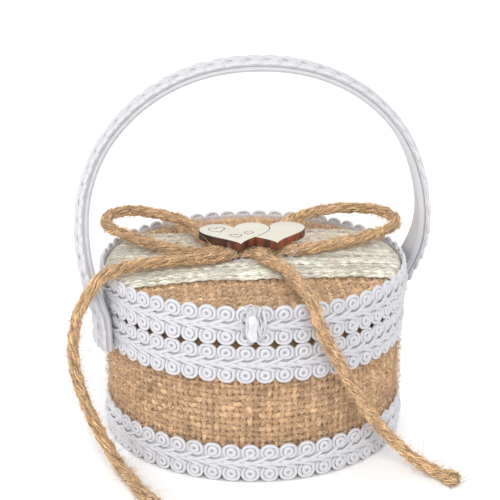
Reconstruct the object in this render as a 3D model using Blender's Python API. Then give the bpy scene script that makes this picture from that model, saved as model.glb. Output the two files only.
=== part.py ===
"""Ring bearer pillow: a small closed drum covered in burlap, trimmed with white gimp braid.

A paperboard tube with two boards makes the drum. Natural burlap is wrapped round the wall and
folded over the top, a cream burlap ribbon crosses the top, and three rings of gimp braid are
glued round the outside. A hoop handle stands over the top, its ends glued to the two upper
rings. A jute twine bow lies on the top with a double-heart wood charm glued over its knot.

Metres, +Z up. The origin is the centre of the underside. The handle and the cream ribbon run
along X, and -Y is the front.
"""

import math

import bmesh
import bpy
from mathutils import Vector

# Clearance between pieces that are glued or pressed together
GAP = 0.0003

# Drum
WALL_RADIUS = 0.0487
WALL_THICKNESS = 0.0015
WALL_HEIGHT = 0.0542
BOARD_THICKNESS = 0.0020
BASE_COVER_THICKNESS = 0.0008

# Cloth on the drum
WALL_CLOTH_THICKNESS = 0.0010
TOP_CLOTH_THICKNESS = 0.0008
TOP_SKIRT_DEPTH = 0.0105
TOP_CROWN = 0.0013
RIM_ROUNDING = 0.0020
PAD_EDGE_HEIGHT = 0.0021
RIBBON_WIDTH = 0.0508
RIBBON_THICKNESS = 0.0007
RIBBON_TUCK = 0.0060
SEAM_OPENING = 0.0006

# Gimp braid
GIMP_WIDTH = 0.0129
GIMP_THICKNESS = 0.0021
RIM_TO_BAND_TOP = 0.0021
FRONT_JOINT = math.radians(-96)
BACK_JOINT = math.radians(90)
GLUE_DAB = (0.0018, 0.0007, 0.0046)

# Handle
HANDLE_WIDTH = GIMP_WIDTH
HANDLE_GIMP_THICKNESS = 0.0017
HANDLE_STRIP_WIDTH = 0.0100
HANDLE_STRIP_THICKNESS = 0.0012
HANDLE_FLARE = 0.0038
HANDLE_SPRING = 0.0104
HANDLE_ARCH_RISE = 0.0597
HANDLE_SQUARENESS = 2.12
HANDLE_OVERLAP = 0.0249
HANDLE_GLUED = 0.0100
HANDLE_LEAN = 0.0015
HANDLE_TOP_TURN = math.radians(-2)
LEFT_END_TURN, LEFT_TURN_RISE = math.radians(18), 0.070
RIGHT_END_TURN, RIGHT_TURN_RISE = math.radians(16), 0.044

# Charm
HEART_WIDTH = 0.0246
HEART_LENGTH = 0.0240
HEART_SPACING = 0.0123
HEART_TURN = math.radians(2.5)
CHARM_THICKNESS = 0.0028
CHARM_CENTRE = (0.0004, -0.0005)

# Twine and its knot
TWINE_DIAMETER = 0.0040
TWINE_POINT_SPACING = 0.0078
KNOT_SIZE = (0.0140, 0.0134, 0.0040)
KNOT_CENTRE = (-0.0005, -0.0028)

# Routes of the twine's centreline, from the knot
LEFT_LOOP_ROUTE = (
    (-0.0092, 0.0006, 0.0635), (-0.0128, 0.0030, 0.0635), (-0.0156, 0.0080, 0.0635),
    (-0.0174, 0.0138, 0.0641), (-0.0194, 0.0190, 0.0652), (-0.0250, 0.0245, 0.0668),
    (-0.0315, 0.0280, 0.0677),
    (-0.0375, 0.0305, 0.0682), (-0.0430, 0.0312, 0.0682), (-0.0475, 0.0295, 0.0678),
    (-0.0500, 0.0255, 0.0670), (-0.0495, 0.0212, 0.0658), (-0.0462, 0.0175, 0.0649),
    (-0.0420, 0.0140, 0.0641), (-0.0375, 0.0095, 0.0637), (-0.0320, 0.0035, 0.0635),
    (-0.0265, -0.0012, 0.0635), (-0.0210, -0.0044, 0.0635), (-0.0150, -0.0052, 0.0635),
    (-0.0110, -0.0039, 0.0635), (-0.0084, -0.0035, 0.0635),
)
RIGHT_LOOP_ROUTE = (
    (0.0030, 0.0056, 0.0635), (0.0065, 0.0115, 0.0635), (0.0115, 0.0175, 0.0646),
    (0.0175, 0.0230, 0.0660), (0.0245, 0.0262, 0.0670), (0.0310, 0.0275, 0.0678),
    (0.0380, 0.0270, 0.0681), (0.0438, 0.0257, 0.0681), (0.0485, 0.0231, 0.0679),
    (0.0517, 0.0190, 0.0673), (0.0526, 0.0146, 0.0665), (0.0507, 0.0110, 0.0656),
    (0.0465, 0.0083, 0.0648), (0.0410, 0.0060, 0.0641), (0.0360, 0.0035, 0.0637),
    (0.0240, -0.0020, 0.0635), (0.0175, -0.0045, 0.0635), (0.0125, -0.0055, 0.0635),
    (0.0077, -0.0045, 0.0635),
)
LEFT_TAIL_ROUTE = (
    (-0.0090, -0.0080, 0.0635), (-0.0112, -0.0090, 0.0635), (-0.0165, -0.0116, 0.0635),
    (-0.0245, -0.0122, 0.0635), (-0.0325, -0.0130, 0.0635), (-0.0390, -0.0150, 0.0635),
    (-0.0440, -0.0182, 0.0638), (-0.0485, -0.0220, 0.0638), (-0.0528, -0.0242, 0.0618),
    (-0.0562, -0.0250, 0.0575), (-0.0590, -0.0256, 0.0530), (-0.0608, -0.0263, 0.0480),
    (-0.0620, -0.0272, 0.0400), (-0.0613, -0.0283, 0.0310), (-0.0588, -0.0297, 0.0215),
    (-0.0545, -0.0325, 0.0120), (-0.0500, -0.0370, 0.0048), (-0.0468, -0.0430, 0.0023),
    (-0.0442, -0.0502, 0.0022), (-0.0412, -0.0585, 0.0022), (-0.0378, -0.0670, 0.0022),
)
RIGHT_TAIL_ROUTE = (
    (0.0015, -0.0107, 0.0635), (0.0023, -0.0128, 0.0635), (0.0060, -0.0200, 0.0635),
    (0.0085, -0.0275, 0.0635), (0.0098, -0.0360, 0.0635), (0.0108, -0.0440, 0.0639),
    (0.0118, -0.0510, 0.0641), (0.0128, -0.0560, 0.0625), (0.0138, -0.0582, 0.0585),
    (0.0157, -0.0575, 0.0535), (0.0198, -0.0545, 0.0452), (0.0240, -0.0525, 0.0370),
    (0.0288, -0.0508, 0.0285), (0.0345, -0.0482, 0.0190), (0.0415, -0.0470, 0.0105),
    (0.0485, -0.0490, 0.0042), (0.0545, -0.0545, 0.0023), (0.0592, -0.0605, 0.0022),
)

# How finely round shapes are cut
SEGMENTS = 60
ARCH_STATIONS = 48
END_STATIONS = 6
HEART_POINTS = 44
CROWN_SHARES = (0.35, 0.65, 0.85)
ROUNDING_STEPS = 4
CURVE_STEPS = 12
KNOT_BEVEL = 0.0012

# Sizes that follow from the ones above
TUBE_FOOT = BASE_COVER_THICKNESS + GAP
TUBE_TOP = TUBE_FOOT + WALL_HEIGHT
CLOTH_INNER_RADIUS = WALL_RADIUS + GAP
WALL_CLOTH_RADIUS = CLOTH_INNER_RADIUS + WALL_CLOTH_THICKNESS
TOP_CLOTH_RADIUS = CLOTH_INNER_RADIUS + TOP_CLOTH_THICKNESS
RIM_HEIGHT = TUBE_TOP + GAP + PAD_EDGE_HEIGHT + GAP + TOP_CLOTH_THICKNESS
RIBBON_INNER_RADIUS = TOP_CLOTH_RADIUS + GAP
RIBBON_OUTER_RADIUS = RIBBON_INNER_RADIUS + RIBBON_THICKNESS
LOWER_BAND_RADIUS = WALL_CLOTH_RADIUS + GAP + GIMP_THICKNESS
UPPER_BAND_RADIUS = RIBBON_OUTER_RADIUS + GAP + GIMP_THICKNESS
BAND_TOP = RIM_HEIGHT + RIM_TO_BAND_TOP
UPPER_BAND_FOOT = BAND_TOP - GIMP_WIDTH
MIDDLE_BAND_TOP = UPPER_BAND_FOOT - GAP
MIDDLE_BAND_FOOT = MIDDLE_BAND_TOP - GIMP_WIDTH
SKIRT_FOOT = RIM_HEIGHT - TOP_SKIRT_DEPTH
WALL_CLOTH_TOP = SKIRT_FOOT - GAP
HANDLE_THICKNESS = HANDLE_GIMP_THICKNESS + GAP + HANDLE_STRIP_THICKNESS
HANDLE_SEAT = UPPER_BAND_RADIUS + GAP + HANDLE_THICKNESS
HANDLE_REACH = HANDLE_SEAT + HANDLE_FLARE
HANDLE_ARCH_HEIGHT = RIM_HEIGHT + HANDLE_SPRING
HANDLE_FOOT = BAND_TOP - HANDLE_OVERLAP
HANDLE_LEAVES = HANDLE_FOOT + HANDLE_GLUED
TOP_CENTRE_HEIGHT = RIM_HEIGHT + TOP_CROWN
RIBBON_CENTRE_HEIGHT = TOP_CENTRE_HEIGHT + GAP + RIBBON_THICKNESS
KNOT_FOOT = RIBBON_CENTRE_HEIGHT + GAP
CHARM_FOOT = KNOT_FOOT + KNOT_SIZE[2] + GAP

# Colour, roughness
NATURAL_BURLAP = ((0.50, 0.33, 0.19), 0.95)
CREAM_BURLAP = ((0.72, 0.67, 0.56), 0.95)
WHITE_BRAID = ((0.86, 0.86, 0.90), 0.70)
WHITE_RIBBON = ((0.84, 0.84, 0.87), 0.60)
PAPERBOARD = ((0.42, 0.34, 0.25), 0.90)
WADDING = ((0.82, 0.82, 0.80), 1.00)
PLYWOOD = ((0.80, 0.74, 0.60), 0.60)
JUTE = ((0.47, 0.30, 0.16), 0.95)
GLUE = ((0.80, 0.80, 0.78), 0.25)


def clear_scene():
    for old in list(bpy.data.objects):
        bpy.data.objects.remove(old)


def give_material(obj, finish):
    """A plain material of the piece's own colour and roughness."""
    colour, roughness = finish
    material = bpy.data.materials.new(obj.name)
    material.use_nodes = True
    shader = material.node_tree.nodes["Principled BSDF"]
    shader.inputs["Base Color"].default_value = (*colour, 1.0)
    shader.inputs["Roughness"].default_value = roughness
    shader.inputs["Metallic"].default_value = 0.0
    obj.data.materials.append(material)


def add_object(name, data, finish):
    obj = bpy.data.objects.new(name, data)
    bpy.context.scene.collection.objects.link(obj)
    give_material(obj, finish)
    return obj


def add_mesh(name, bm, finish, smooth_below=30):
    """A mesh object from a bmesh, with its faces turned outwards."""
    bmesh.ops.recalc_face_normals(bm, faces=bm.faces)
    mesh = bpy.data.meshes.new(name)
    bm.to_mesh(mesh)
    bm.free()
    mesh.shade_smooth()
    mesh.set_sharp_from_angle(angle=math.radians(smooth_below))
    return add_object(name, mesh, finish)


def turned(name, profile, finish):
    """A profile of (radius, height) points, turned once round Z.

    The profile starts and ends on the axis, or else is closed.
    """
    bm = bmesh.new()
    points = [bm.verts.new((radius, 0.0, height)) for radius, height in profile]
    edges = [bm.edges.new(pair) for pair in zip(points[:-1], points[1:])]
    if profile[0][0] > 0:
        edges.append(bm.edges.new((points[-1], points[0])))
    bmesh.ops.spin(
        bm, geom=points + edges, cent=(0, 0, 0), axis=(0, 0, 1),
        angle=math.tau, steps=SEGMENTS, use_merge=True,
    )
    bmesh.ops.remove_doubles(bm, verts=bm.verts, dist=1e-7)
    return add_mesh(name, bm, finish)


def lofted(name, rings, finish):
    """A solid through a row of rings with the same number of points each, closed at both ends."""
    bm = bmesh.new()
    rows = [[bm.verts.new(point) for point in ring] for ring in rings]
    for first, second in zip(rows[:-1], rows[1:]):
        for k in range(len(first)):
            following = (k + 1) % len(first)
            bm.faces.new((first[k], first[following], second[following], second[k]))
    bm.faces.new(rows[0])
    bm.faces.new(rows[-1])
    return add_mesh(name, bm, finish)


def disc(name, radius, foot, thickness, finish):
    top = foot + thickness
    return turned(name, [(0, foot), (radius, foot), (radius, top), (0, top)], finish)


def band(name, inner, thickness, foot, width, joint, finish):
    """A strip bent round Z until its two ends all but meet at the joint's angle."""
    outer = inner + thickness
    half_opening = SEAM_OPENING / 2 / inner
    start, sweep = joint + half_opening, math.tau - 2 * half_opening
    rings = []
    for i in range(SEGMENTS + 1):
        angle = start + sweep * i / SEGMENTS
        out = Vector((math.cos(angle), math.sin(angle), 0))
        rings.append([
            out * radius + Vector((0, 0, height))
            for radius, height in (
                (inner, foot), (outer, foot), (outer, foot + width), (inner, foot + width),
            )
        ])
    return lofted(name, rings, finish)


def cap_profile(outer_radius, rim_height, thickness, skirt_foot):
    """A cap's section: crowned top, rounded rim and straight skirt, with an even wall."""
    rounding, steps = RIM_ROUNDING, ROUNDING_STEPS
    flat_radius = outer_radius - rounding
    centre_height = rim_height + TOP_CROWN
    outside = [(0, centre_height)]
    for share in CROWN_SHARES:
        radius = flat_radius * share
        outside.append((radius, centre_height - TOP_CROWN * share**2))
    for i in range(steps + 1):
        angle = math.pi / 2 * (1 - i / steps)
        outside.append((
            flat_radius + rounding * math.cos(angle),
            rim_height - rounding + rounding * math.sin(angle),
        ))
    outside.append((outer_radius, skirt_foot))
    inner_rounding = rounding - thickness
    inside = [(outer_radius - thickness, skirt_foot)]
    for i in range(steps + 1):
        angle = math.pi / 2 * i / steps
        inside.append((
            flat_radius + inner_rounding * math.cos(angle),
            rim_height - rounding + inner_rounding * math.sin(angle),
        ))
    for share in reversed(CROWN_SHARES):
        radius = flat_radius * share
        inside.append((radius, centre_height - thickness - TOP_CROWN * share**2))
    inside.append((0, centre_height - thickness))
    return outside + inside


def make_drum():
    board_radius = WALL_RADIUS - WALL_THICKNESS - GAP
    disc("base_cover", WALL_CLOTH_RADIUS, 0.0, BASE_COVER_THICKNESS, NATURAL_BURLAP)
    disc("base_board", board_radius, TUBE_FOOT, BOARD_THICKNESS, PAPERBOARD)
    disc("top_board", board_radius, TUBE_TOP - BOARD_THICKNESS, BOARD_THICKNESS, PAPERBOARD)
    inner = WALL_RADIUS - WALL_THICKNESS
    turned("drum_wall", [
        (inner, TUBE_FOOT), (WALL_RADIUS, TUBE_FOOT), (WALL_RADIUS, TUBE_TOP), (inner, TUBE_TOP),
    ], PAPERBOARD)


def make_pad():
    """Wadding that crowns the top, under the cloth."""
    foot = TUBE_TOP + GAP
    edge_top = foot + PAD_EDGE_HEIGHT
    flat_radius = TOP_CLOTH_RADIUS - RIM_ROUNDING
    profile = [(0, foot), (WALL_RADIUS, foot), (WALL_RADIUS, edge_top - RIM_ROUNDING / 2)]
    for share in (1.0, *reversed(CROWN_SHARES), 0.0):
        profile.append((flat_radius * share, edge_top + TOP_CROWN * (1 - share**2)))
    turned("top_pad", profile, WADDING)


def make_cloth():
    band(
        "wall_cover", CLOTH_INNER_RADIUS, WALL_CLOTH_THICKNESS, TUBE_FOOT,
        WALL_CLOTH_TOP - TUBE_FOOT, BACK_JOINT, NATURAL_BURLAP,
    )
    turned(
        "top_cover",
        cap_profile(TOP_CLOTH_RADIUS, RIM_HEIGHT, TOP_CLOTH_THICKNESS, SKIRT_FOOT),
        NATURAL_BURLAP,
    )


def make_cream_ribbon():
    """A ribbon that follows the crowned top and tucks under the upper band at both ends."""
    rim_height = RIM_HEIGHT + GAP + RIBBON_THICKNESS
    profile = cap_profile(
        RIBBON_OUTER_RADIUS, rim_height, RIBBON_THICKNESS, RIM_HEIGHT - RIBBON_TUCK
    )
    ribbon = turned("cream_ribbon", profile, CREAM_BURLAP)
    bm = bmesh.new()
    bmesh.ops.create_cube(bm, size=1.0)
    bmesh.ops.scale(
        bm, verts=bm.verts, vec=(4 * RIBBON_OUTER_RADIUS, RIBBON_WIDTH, 4 * RIM_HEIGHT)
    )
    cutter = add_mesh("ribbon_cutter", bm, CREAM_BURLAP)
    cutter.hide_render = True
    cutter.display_type = "WIRE"
    cut = ribbon.modifiers.new("ribbon width", "BOOLEAN")
    cut.operation = "INTERSECT"
    cut.solver = "EXACT"
    cut.object = cutter


def make_gimp_bands():
    upper_inner = UPPER_BAND_RADIUS - GIMP_THICKNESS
    lower_inner = LOWER_BAND_RADIUS - GIMP_THICKNESS
    for name, inner, foot, joint in (
        ("upper_gimp_band", upper_inner, UPPER_BAND_FOOT, FRONT_JOINT),
        ("middle_gimp_band", lower_inner, MIDDLE_BAND_FOOT, BACK_JOINT),
        ("lower_gimp_band", lower_inner, GAP, BACK_JOINT),
    ):
        band(name, inner, GIMP_THICKNESS, foot, GIMP_WIDTH, joint, WHITE_BRAID)


def make_joint_glue():
    """The set drop of glue over the upper band's front joint."""
    bm = bmesh.new()
    bmesh.ops.create_icosphere(bm, subdivisions=2, radius=1.0)
    bmesh.ops.scale(bm, verts=bm.verts, vec=GLUE_DAB)
    dab = add_mesh("joint_glue", bm, GLUE, smooth_below=80)
    reach = UPPER_BAND_RADIUS + GAP + GLUE_DAB[1]
    dab.location = (
        reach * math.cos(FRONT_JOINT), reach * math.sin(FRONT_JOINT),
        UPPER_BAND_FOOT + GIMP_WIDTH / 2,
    )
    dab.rotation_euler = (0, 0, FRONT_JOINT + math.pi / 2)


def eased(t):
    t = min(max(t, 0.0), 1.0)
    return t * t * (3 - 2 * t)


def handle_outline():
    """(distance from the axis, height) up one side of the handle's outer face."""
    points = []
    for i in range(END_STATIONS):
        points.append((HANDLE_SEAT, HANDLE_FOOT + HANDLE_GLUED * i / END_STATIONS))
    rise = HANDLE_ARCH_HEIGHT - HANDLE_LEAVES
    for i in range(2 * END_STATIONS):
        t = i / (2 * END_STATIONS)
        points.append((
            HANDLE_SEAT + HANDLE_FLARE * (1 - (1 - t) ** 2), HANDLE_LEAVES + rise * t
        ))
    quarter = ARCH_STATIONS // 2
    for i in range(quarter + 1):
        angle = math.pi / 2 * i / quarter
        across = max(math.cos(angle), 0.0) ** (2 / HANDLE_SQUARENESS)
        up = math.sin(angle) ** (2 / HANDLE_SQUARENESS)
        points.append((
            HANDLE_REACH * across, HANDLE_ARCH_HEIGHT + HANDLE_ARCH_RISE * up,
        ))
    return points


def handle_stations():
    """(place on the outer face, direction across) all along the handle, from left to right."""
    stations = []
    outline = handle_outline()
    for side, end_turn, turn_rise in (
        (-1, LEFT_END_TURN, LEFT_TURN_RISE), (1, RIGHT_END_TURN, RIGHT_TURN_RISE),
    ):
        half = []
        for reach, height in outline:
            eased_in = eased((height - HANDLE_FOOT) / turn_rise)
            turn = end_turn + (HANDLE_TOP_TURN - end_turn) * eased_in
            lean = HANDLE_LEAN * eased((height - HANDLE_ARCH_HEIGHT) / HANDLE_ARCH_RISE)
            place = Vector((
                side * reach * math.cos(turn) + lean, side * reach * math.sin(turn), height
            ))
            half.append((place, Vector((-math.sin(turn), math.cos(turn), 0))))
        stations += half if side < 0 else half[-2::-1]
    return stations


def handle_layer(name, depth, thickness, width, finish):
    """One layer of the handle: a flat strip of this width, from a depth under the outer face."""
    stations = handle_stations()
    rings = []
    for i, (place, across) in enumerate(stations):
        before = stations[max(i - 1, 0)][0]
        after = stations[min(i + 1, len(stations) - 1)][0]
        along = (after - before).normalized()
        inward = across.cross(along).normalized()
        if inward.dot(place - Vector((0, 0, HANDLE_ARCH_HEIGHT))) > 0:
            inward = -inward
        side = along.cross(inward).normalized() * (width / 2)
        top, bottom = place + inward * depth, place + inward * (depth + thickness)
        rings.append([top - side, top + side, bottom + side, bottom - side])
    return lofted(name, rings, finish)


def make_handle():
    handle_layer("handle_gimp", 0.0, HANDLE_GIMP_THICKNESS, HANDLE_WIDTH, WHITE_BRAID)
    handle_layer(
        "handle_strip", HANDLE_GIMP_THICKNESS + GAP, HANDLE_STRIP_THICKNESS,
        HANDLE_STRIP_WIDTH, WHITE_RIBBON,
    )


def heart_outline():
    """A heart's outline round its centre, with its point towards -Y."""
    points = []
    for i in range(HEART_POINTS):
        t = math.tau * i / HEART_POINTS
        x = math.sin(t) ** 3
        y = (13 * math.cos(t) - 5 * math.cos(2 * t) - 2 * math.cos(3 * t) - math.cos(4 * t)) / 29
        points.append((HEART_WIDTH / 2 * x, HEART_LENGTH * (y + 2.5 / 29)))
    return points


def heart_plate(name, centre_x):
    """One heart of the charm, cut from the sheet."""
    bm = bmesh.new()
    cos_turn, sin_turn = math.cos(HEART_TURN), math.sin(HEART_TURN)
    outline = [
        bm.verts.new((
            CHARM_CENTRE[0] + centre_x + x * cos_turn - y * sin_turn,
            CHARM_CENTRE[1] + x * sin_turn + y * cos_turn,
            CHARM_FOOT,
        ))
        for x, y in heart_outline()
    ]
    face = bm.faces.new(outline)
    raised = bmesh.ops.extrude_face_region(bm, geom=[face])["geom"]
    corners = [item for item in raised if isinstance(item, bmesh.types.BMVert)]
    bmesh.ops.translate(bm, verts=corners, vec=(0, 0, CHARM_THICKNESS))
    return add_mesh(name, bm, PLYWOOD)


def make_charm():
    """Two overlapping hearts cut in one piece."""
    charm = heart_plate("heart_charm", -HEART_SPACING / 2)
    other = heart_plate("second_heart", HEART_SPACING / 2)
    other.hide_render = True
    other.display_type = "WIRE"
    join = charm.modifiers.new("second heart", "BOOLEAN")
    join.operation = "UNION"
    join.solver = "EXACT"
    join.object = other


def make_knot():
    bm = bmesh.new()
    bmesh.ops.create_cube(bm, size=1.0)
    bmesh.ops.scale(bm, verts=bm.verts, vec=KNOT_SIZE)
    bmesh.ops.bevel(
        bm, geom=bm.edges[:], offset=KNOT_BEVEL, segments=2, profile=0.5, affect="EDGES"
    )
    knot = add_mesh("bow_knot", bm, JUTE)
    knot.location = (*KNOT_CENTRE, KNOT_FOOT + KNOT_SIZE[2] / 2)


def smooth_route(route):
    """Points evenly spaced along a smooth curve through the route's points."""
    points = [Vector(point) for point in route]
    points = [2 * points[0] - points[1], *points, 2 * points[-1] - points[-2]]
    fine = []
    for p0, p1, p2, p3 in zip(points, points[1:], points[2:], points[3:]):
        for i in range(CURVE_STEPS):
            t = i / CURVE_STEPS
            fine.append(0.5 * (
                2 * p1 + (p2 - p0) * t + (2 * p0 - 5 * p1 + 4 * p2 - p3) * t**2
                + (3 * p1 - p0 - 3 * p2 + p3) * t**3
            ))
    fine.append(points[-2])
    lengths = [0.0]
    for first, second in zip(fine[:-1], fine[1:]):
        lengths.append(lengths[-1] + (second - first).length)
    count = max(2, round(lengths[-1] / TWINE_POINT_SPACING))
    spaced, k = [], 0
    for i in range(count + 1):
        along = lengths[-1] * i / count
        while k < len(fine) - 2 and lengths[k + 1] < along:
            k += 1
        share = (along - lengths[k]) / (lengths[k + 1] - lengths[k])
        spaced.append(fine[k].lerp(fine[k + 1], min(share, 1.0)))
    return spaced


def twine(name, route):
    """A length of twine along its route."""
    curve = bpy.data.curves.new(name, "CURVE")
    curve.dimensions = "3D"
    curve.bevel_depth = TWINE_DIAMETER / 2
    curve.bevel_resolution = 2
    curve.use_fill_caps = True
    points = smooth_route(route)
    spline = curve.splines.new("POLY")
    spline.points.add(len(points) - 1)
    for target, place in zip(spline.points, points):
        target.co = (*place, 1.0)
    add_object(name, curve, JUTE)


def make_bow():
    make_knot()
    twine("left_loop", LEFT_LOOP_ROUTE)
    twine("right_loop", RIGHT_LOOP_ROUTE)
    twine("left_tail", LEFT_TAIL_ROUTE)
    twine("right_tail", RIGHT_TAIL_ROUTE)


def main():
    clear_scene()
    make_drum()
    make_pad()
    make_cloth()
    make_cream_ribbon()
    make_gimp_bands()
    make_joint_glue()
    make_handle()
    make_charm()
    make_bow()


main()
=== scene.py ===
"""Ring bearer pillow: the finished look, built round the fixed frame of the plain parts.

A small drum in natural burlap, a cream burlap ribbon across its top, three rings of white gimp
braid, a hoop handle of the same braid, and a jute twine bow under a double-heart wood charm.
Metres, +Z up, the drum stands on the floor with its axis on Z, and -Y is the front.
"""

import math

import bmesh
import bpy
import numpy as np
from bpy.props import (
    FloatProperty, FloatVectorProperty, IntProperty, PointerProperty,
)
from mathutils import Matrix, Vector
from mathutils.geometry import delaunay_2d_cdt


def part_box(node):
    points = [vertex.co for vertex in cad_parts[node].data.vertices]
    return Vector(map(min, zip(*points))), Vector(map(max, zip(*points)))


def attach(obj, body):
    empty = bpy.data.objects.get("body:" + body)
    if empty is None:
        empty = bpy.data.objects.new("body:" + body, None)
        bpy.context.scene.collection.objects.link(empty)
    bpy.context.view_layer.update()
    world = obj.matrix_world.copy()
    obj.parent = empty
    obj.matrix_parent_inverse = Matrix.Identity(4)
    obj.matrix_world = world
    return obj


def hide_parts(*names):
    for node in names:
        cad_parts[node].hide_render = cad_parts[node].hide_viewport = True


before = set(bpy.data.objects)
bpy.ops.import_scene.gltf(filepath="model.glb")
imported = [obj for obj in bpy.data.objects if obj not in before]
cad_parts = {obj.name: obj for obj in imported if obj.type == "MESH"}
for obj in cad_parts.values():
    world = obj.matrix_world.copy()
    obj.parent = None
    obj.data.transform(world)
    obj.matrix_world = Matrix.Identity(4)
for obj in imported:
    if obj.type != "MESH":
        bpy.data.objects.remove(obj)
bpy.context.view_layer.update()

bl_info = {
    "name": "Ring bearer pillow",
    "version": (1, 0, 0),
    "blender": (4, 5, 0),
    "location": "3D View > Sidebar > Pillow",
    "description": "Makes a burlap ring bearer pillow with gimp braid, a hoop handle and a twine bow",
    "category": "Object",
}

BODY = "root"

# ---------------------------------------------------------------- places taken from the frame


def reach_of(node):
    """How far a round part reaches from the drum's axis."""
    low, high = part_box(node)
    return max(-low.x, -low.y, high.x, high.y)


WALL_RADIUS = reach_of("wall_cover")
WALL_FOOT, WALL_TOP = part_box("wall_cover")[0].z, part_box("wall_cover")[1].z
TOP_RADIUS = reach_of("top_cover")
TOP_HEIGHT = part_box("top_cover")[1].z
BASE_RADIUS = reach_of("base_cover")
BASE_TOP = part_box("base_cover")[1].z
CHARM_FOOT, CHARM_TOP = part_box("heart_charm")[0].z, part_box("heart_charm")[1].z
KNOT_LOW, KNOT_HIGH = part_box("bow_knot")
HANDLE_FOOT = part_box("handle_gimp")[0].z

# The top's crown and the roundness of its rim
TOP_CROWN = 0.0013
RIM_ROUNDING = 0.0020
RIM_HEIGHT = TOP_HEIGHT - TOP_CROWN

# The cloth: its yarns and the thin sheet behind them, and the steps along a yarn's guide line
CLOTH_THICKNESS = 0.0010
SHEET_THICKNESS = 0.0002
GUIDE_STEP = 0.0005
# Loose hairs, short ones on the burlap and the twine and some long ones on the twine
HAIR_LENGTH, LONG_HAIR_LENGTH = 0.0027, 0.0075
BURLAP_HAIR_THICKNESS, BURLAP_HAIR_LEAN = 0.00019, 1.45
TWINE_HAIR_THICKNESS, TWINE_HAIR_LEAN = 0.00015, 1.42
LONG_HAIR_THICKNESS = 0.00014
# Hairs on a square metre of each
WALL_HAIRS, TOP_HAIRS, RIBBON_HAIRS = 950000.0, 850000.0, 160000.0
TWINE_HAIRS, TWINE_LONG_HAIRS = 440000.0, 12000.0
# The cream ribbon: its size, its yarns along its length, and its gap over the top's burlap
RIBBON_WIDTH, RIBBON_THICKNESS = 0.0508, 0.0007
RIBBON_ROWS = 39
RIBBON_GAP = 0.0003
# Points round the covers, and round the discs
ROUND_POINTS, DISC_POINTS = 120, 96

# The braid, and where its rings are joined
BRAID_THICKNESS = 0.0021
BRAID_PITCH = 0.0060
FRONT_JOINT = math.radians(-96)
BACK_JOINT = math.radians(90)

# The hoop handle's line, as the frame's plain handle follows it
HANDLE_THICKNESS = 0.0032
HANDLE_GIMP_THICKNESS = 0.0017
HANDLE_STRIP_WIDTH = 0.0100
HANDLE_STRIP_THICKNESS = 0.0012
HANDLE_LAYER_GAP = 0.0003
# The handle's gap to the upper ring, and how far its core lies behind the path of the cords
HANDLE_CLEARANCE = 0.0003
HANDLE_CORE_DEPTH = 0.00035
# The ribbon strip is soft, and fuller towards the inside than the plain strip
STRIP_FULLNESS = 0.0006
HANDLE_SEAT = reach_of("upper_gimp_band") + HANDLE_CLEARANCE + HANDLE_THICKNESS
HANDLE_FLARE = 0.0038
HANDLE_REACH = HANDLE_SEAT + HANDLE_FLARE
HANDLE_ARCH_HEIGHT = RIM_HEIGHT + 0.0104
HANDLE_ARCH_RISE = 0.0597
HANDLE_SQUARENESS = 2.12
HANDLE_LEAVES = HANDLE_FOOT + 0.0100
HANDLE_LEAN = 0.0015
HANDLE_TOP_TURN = math.radians(-2)
LEFT_END_TURN, LEFT_TURN_RISE = math.radians(18), 0.070
RIGHT_END_TURN, RIGHT_TURN_RISE = math.radians(16), 0.044

# The charm's hearts
HEART_WIDTH, HEART_LENGTH = 0.0246, 0.0240
HEART_SPACING = 0.0123
HEART_TURN = math.radians(2.5)
CHARM_CENTRE = Vector((0.0004, -0.0005))
CHARM_ROUNDING = 0.00012
HEART_POINTS = 110

# The twine: steps along it, loose strands in a ply, and how far its ends go into the knot
TWINE_STEP = 0.0008
PLY_STRANDS = 17
TUCKED_IN = 0.0030
FRAYED_LENGTH = 0.010
# What would lie lower than this is lifted to it
FLOOR_CLEARANCE = 0.00005
# The wadding swells no further than this
PAD_SWELL = 0.00015

# The stage
SENSOR_WIDTH, CAMERA_SHIFT = 36.0, -0.0061
BACKDROP_STRENGTH = 0.86

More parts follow.
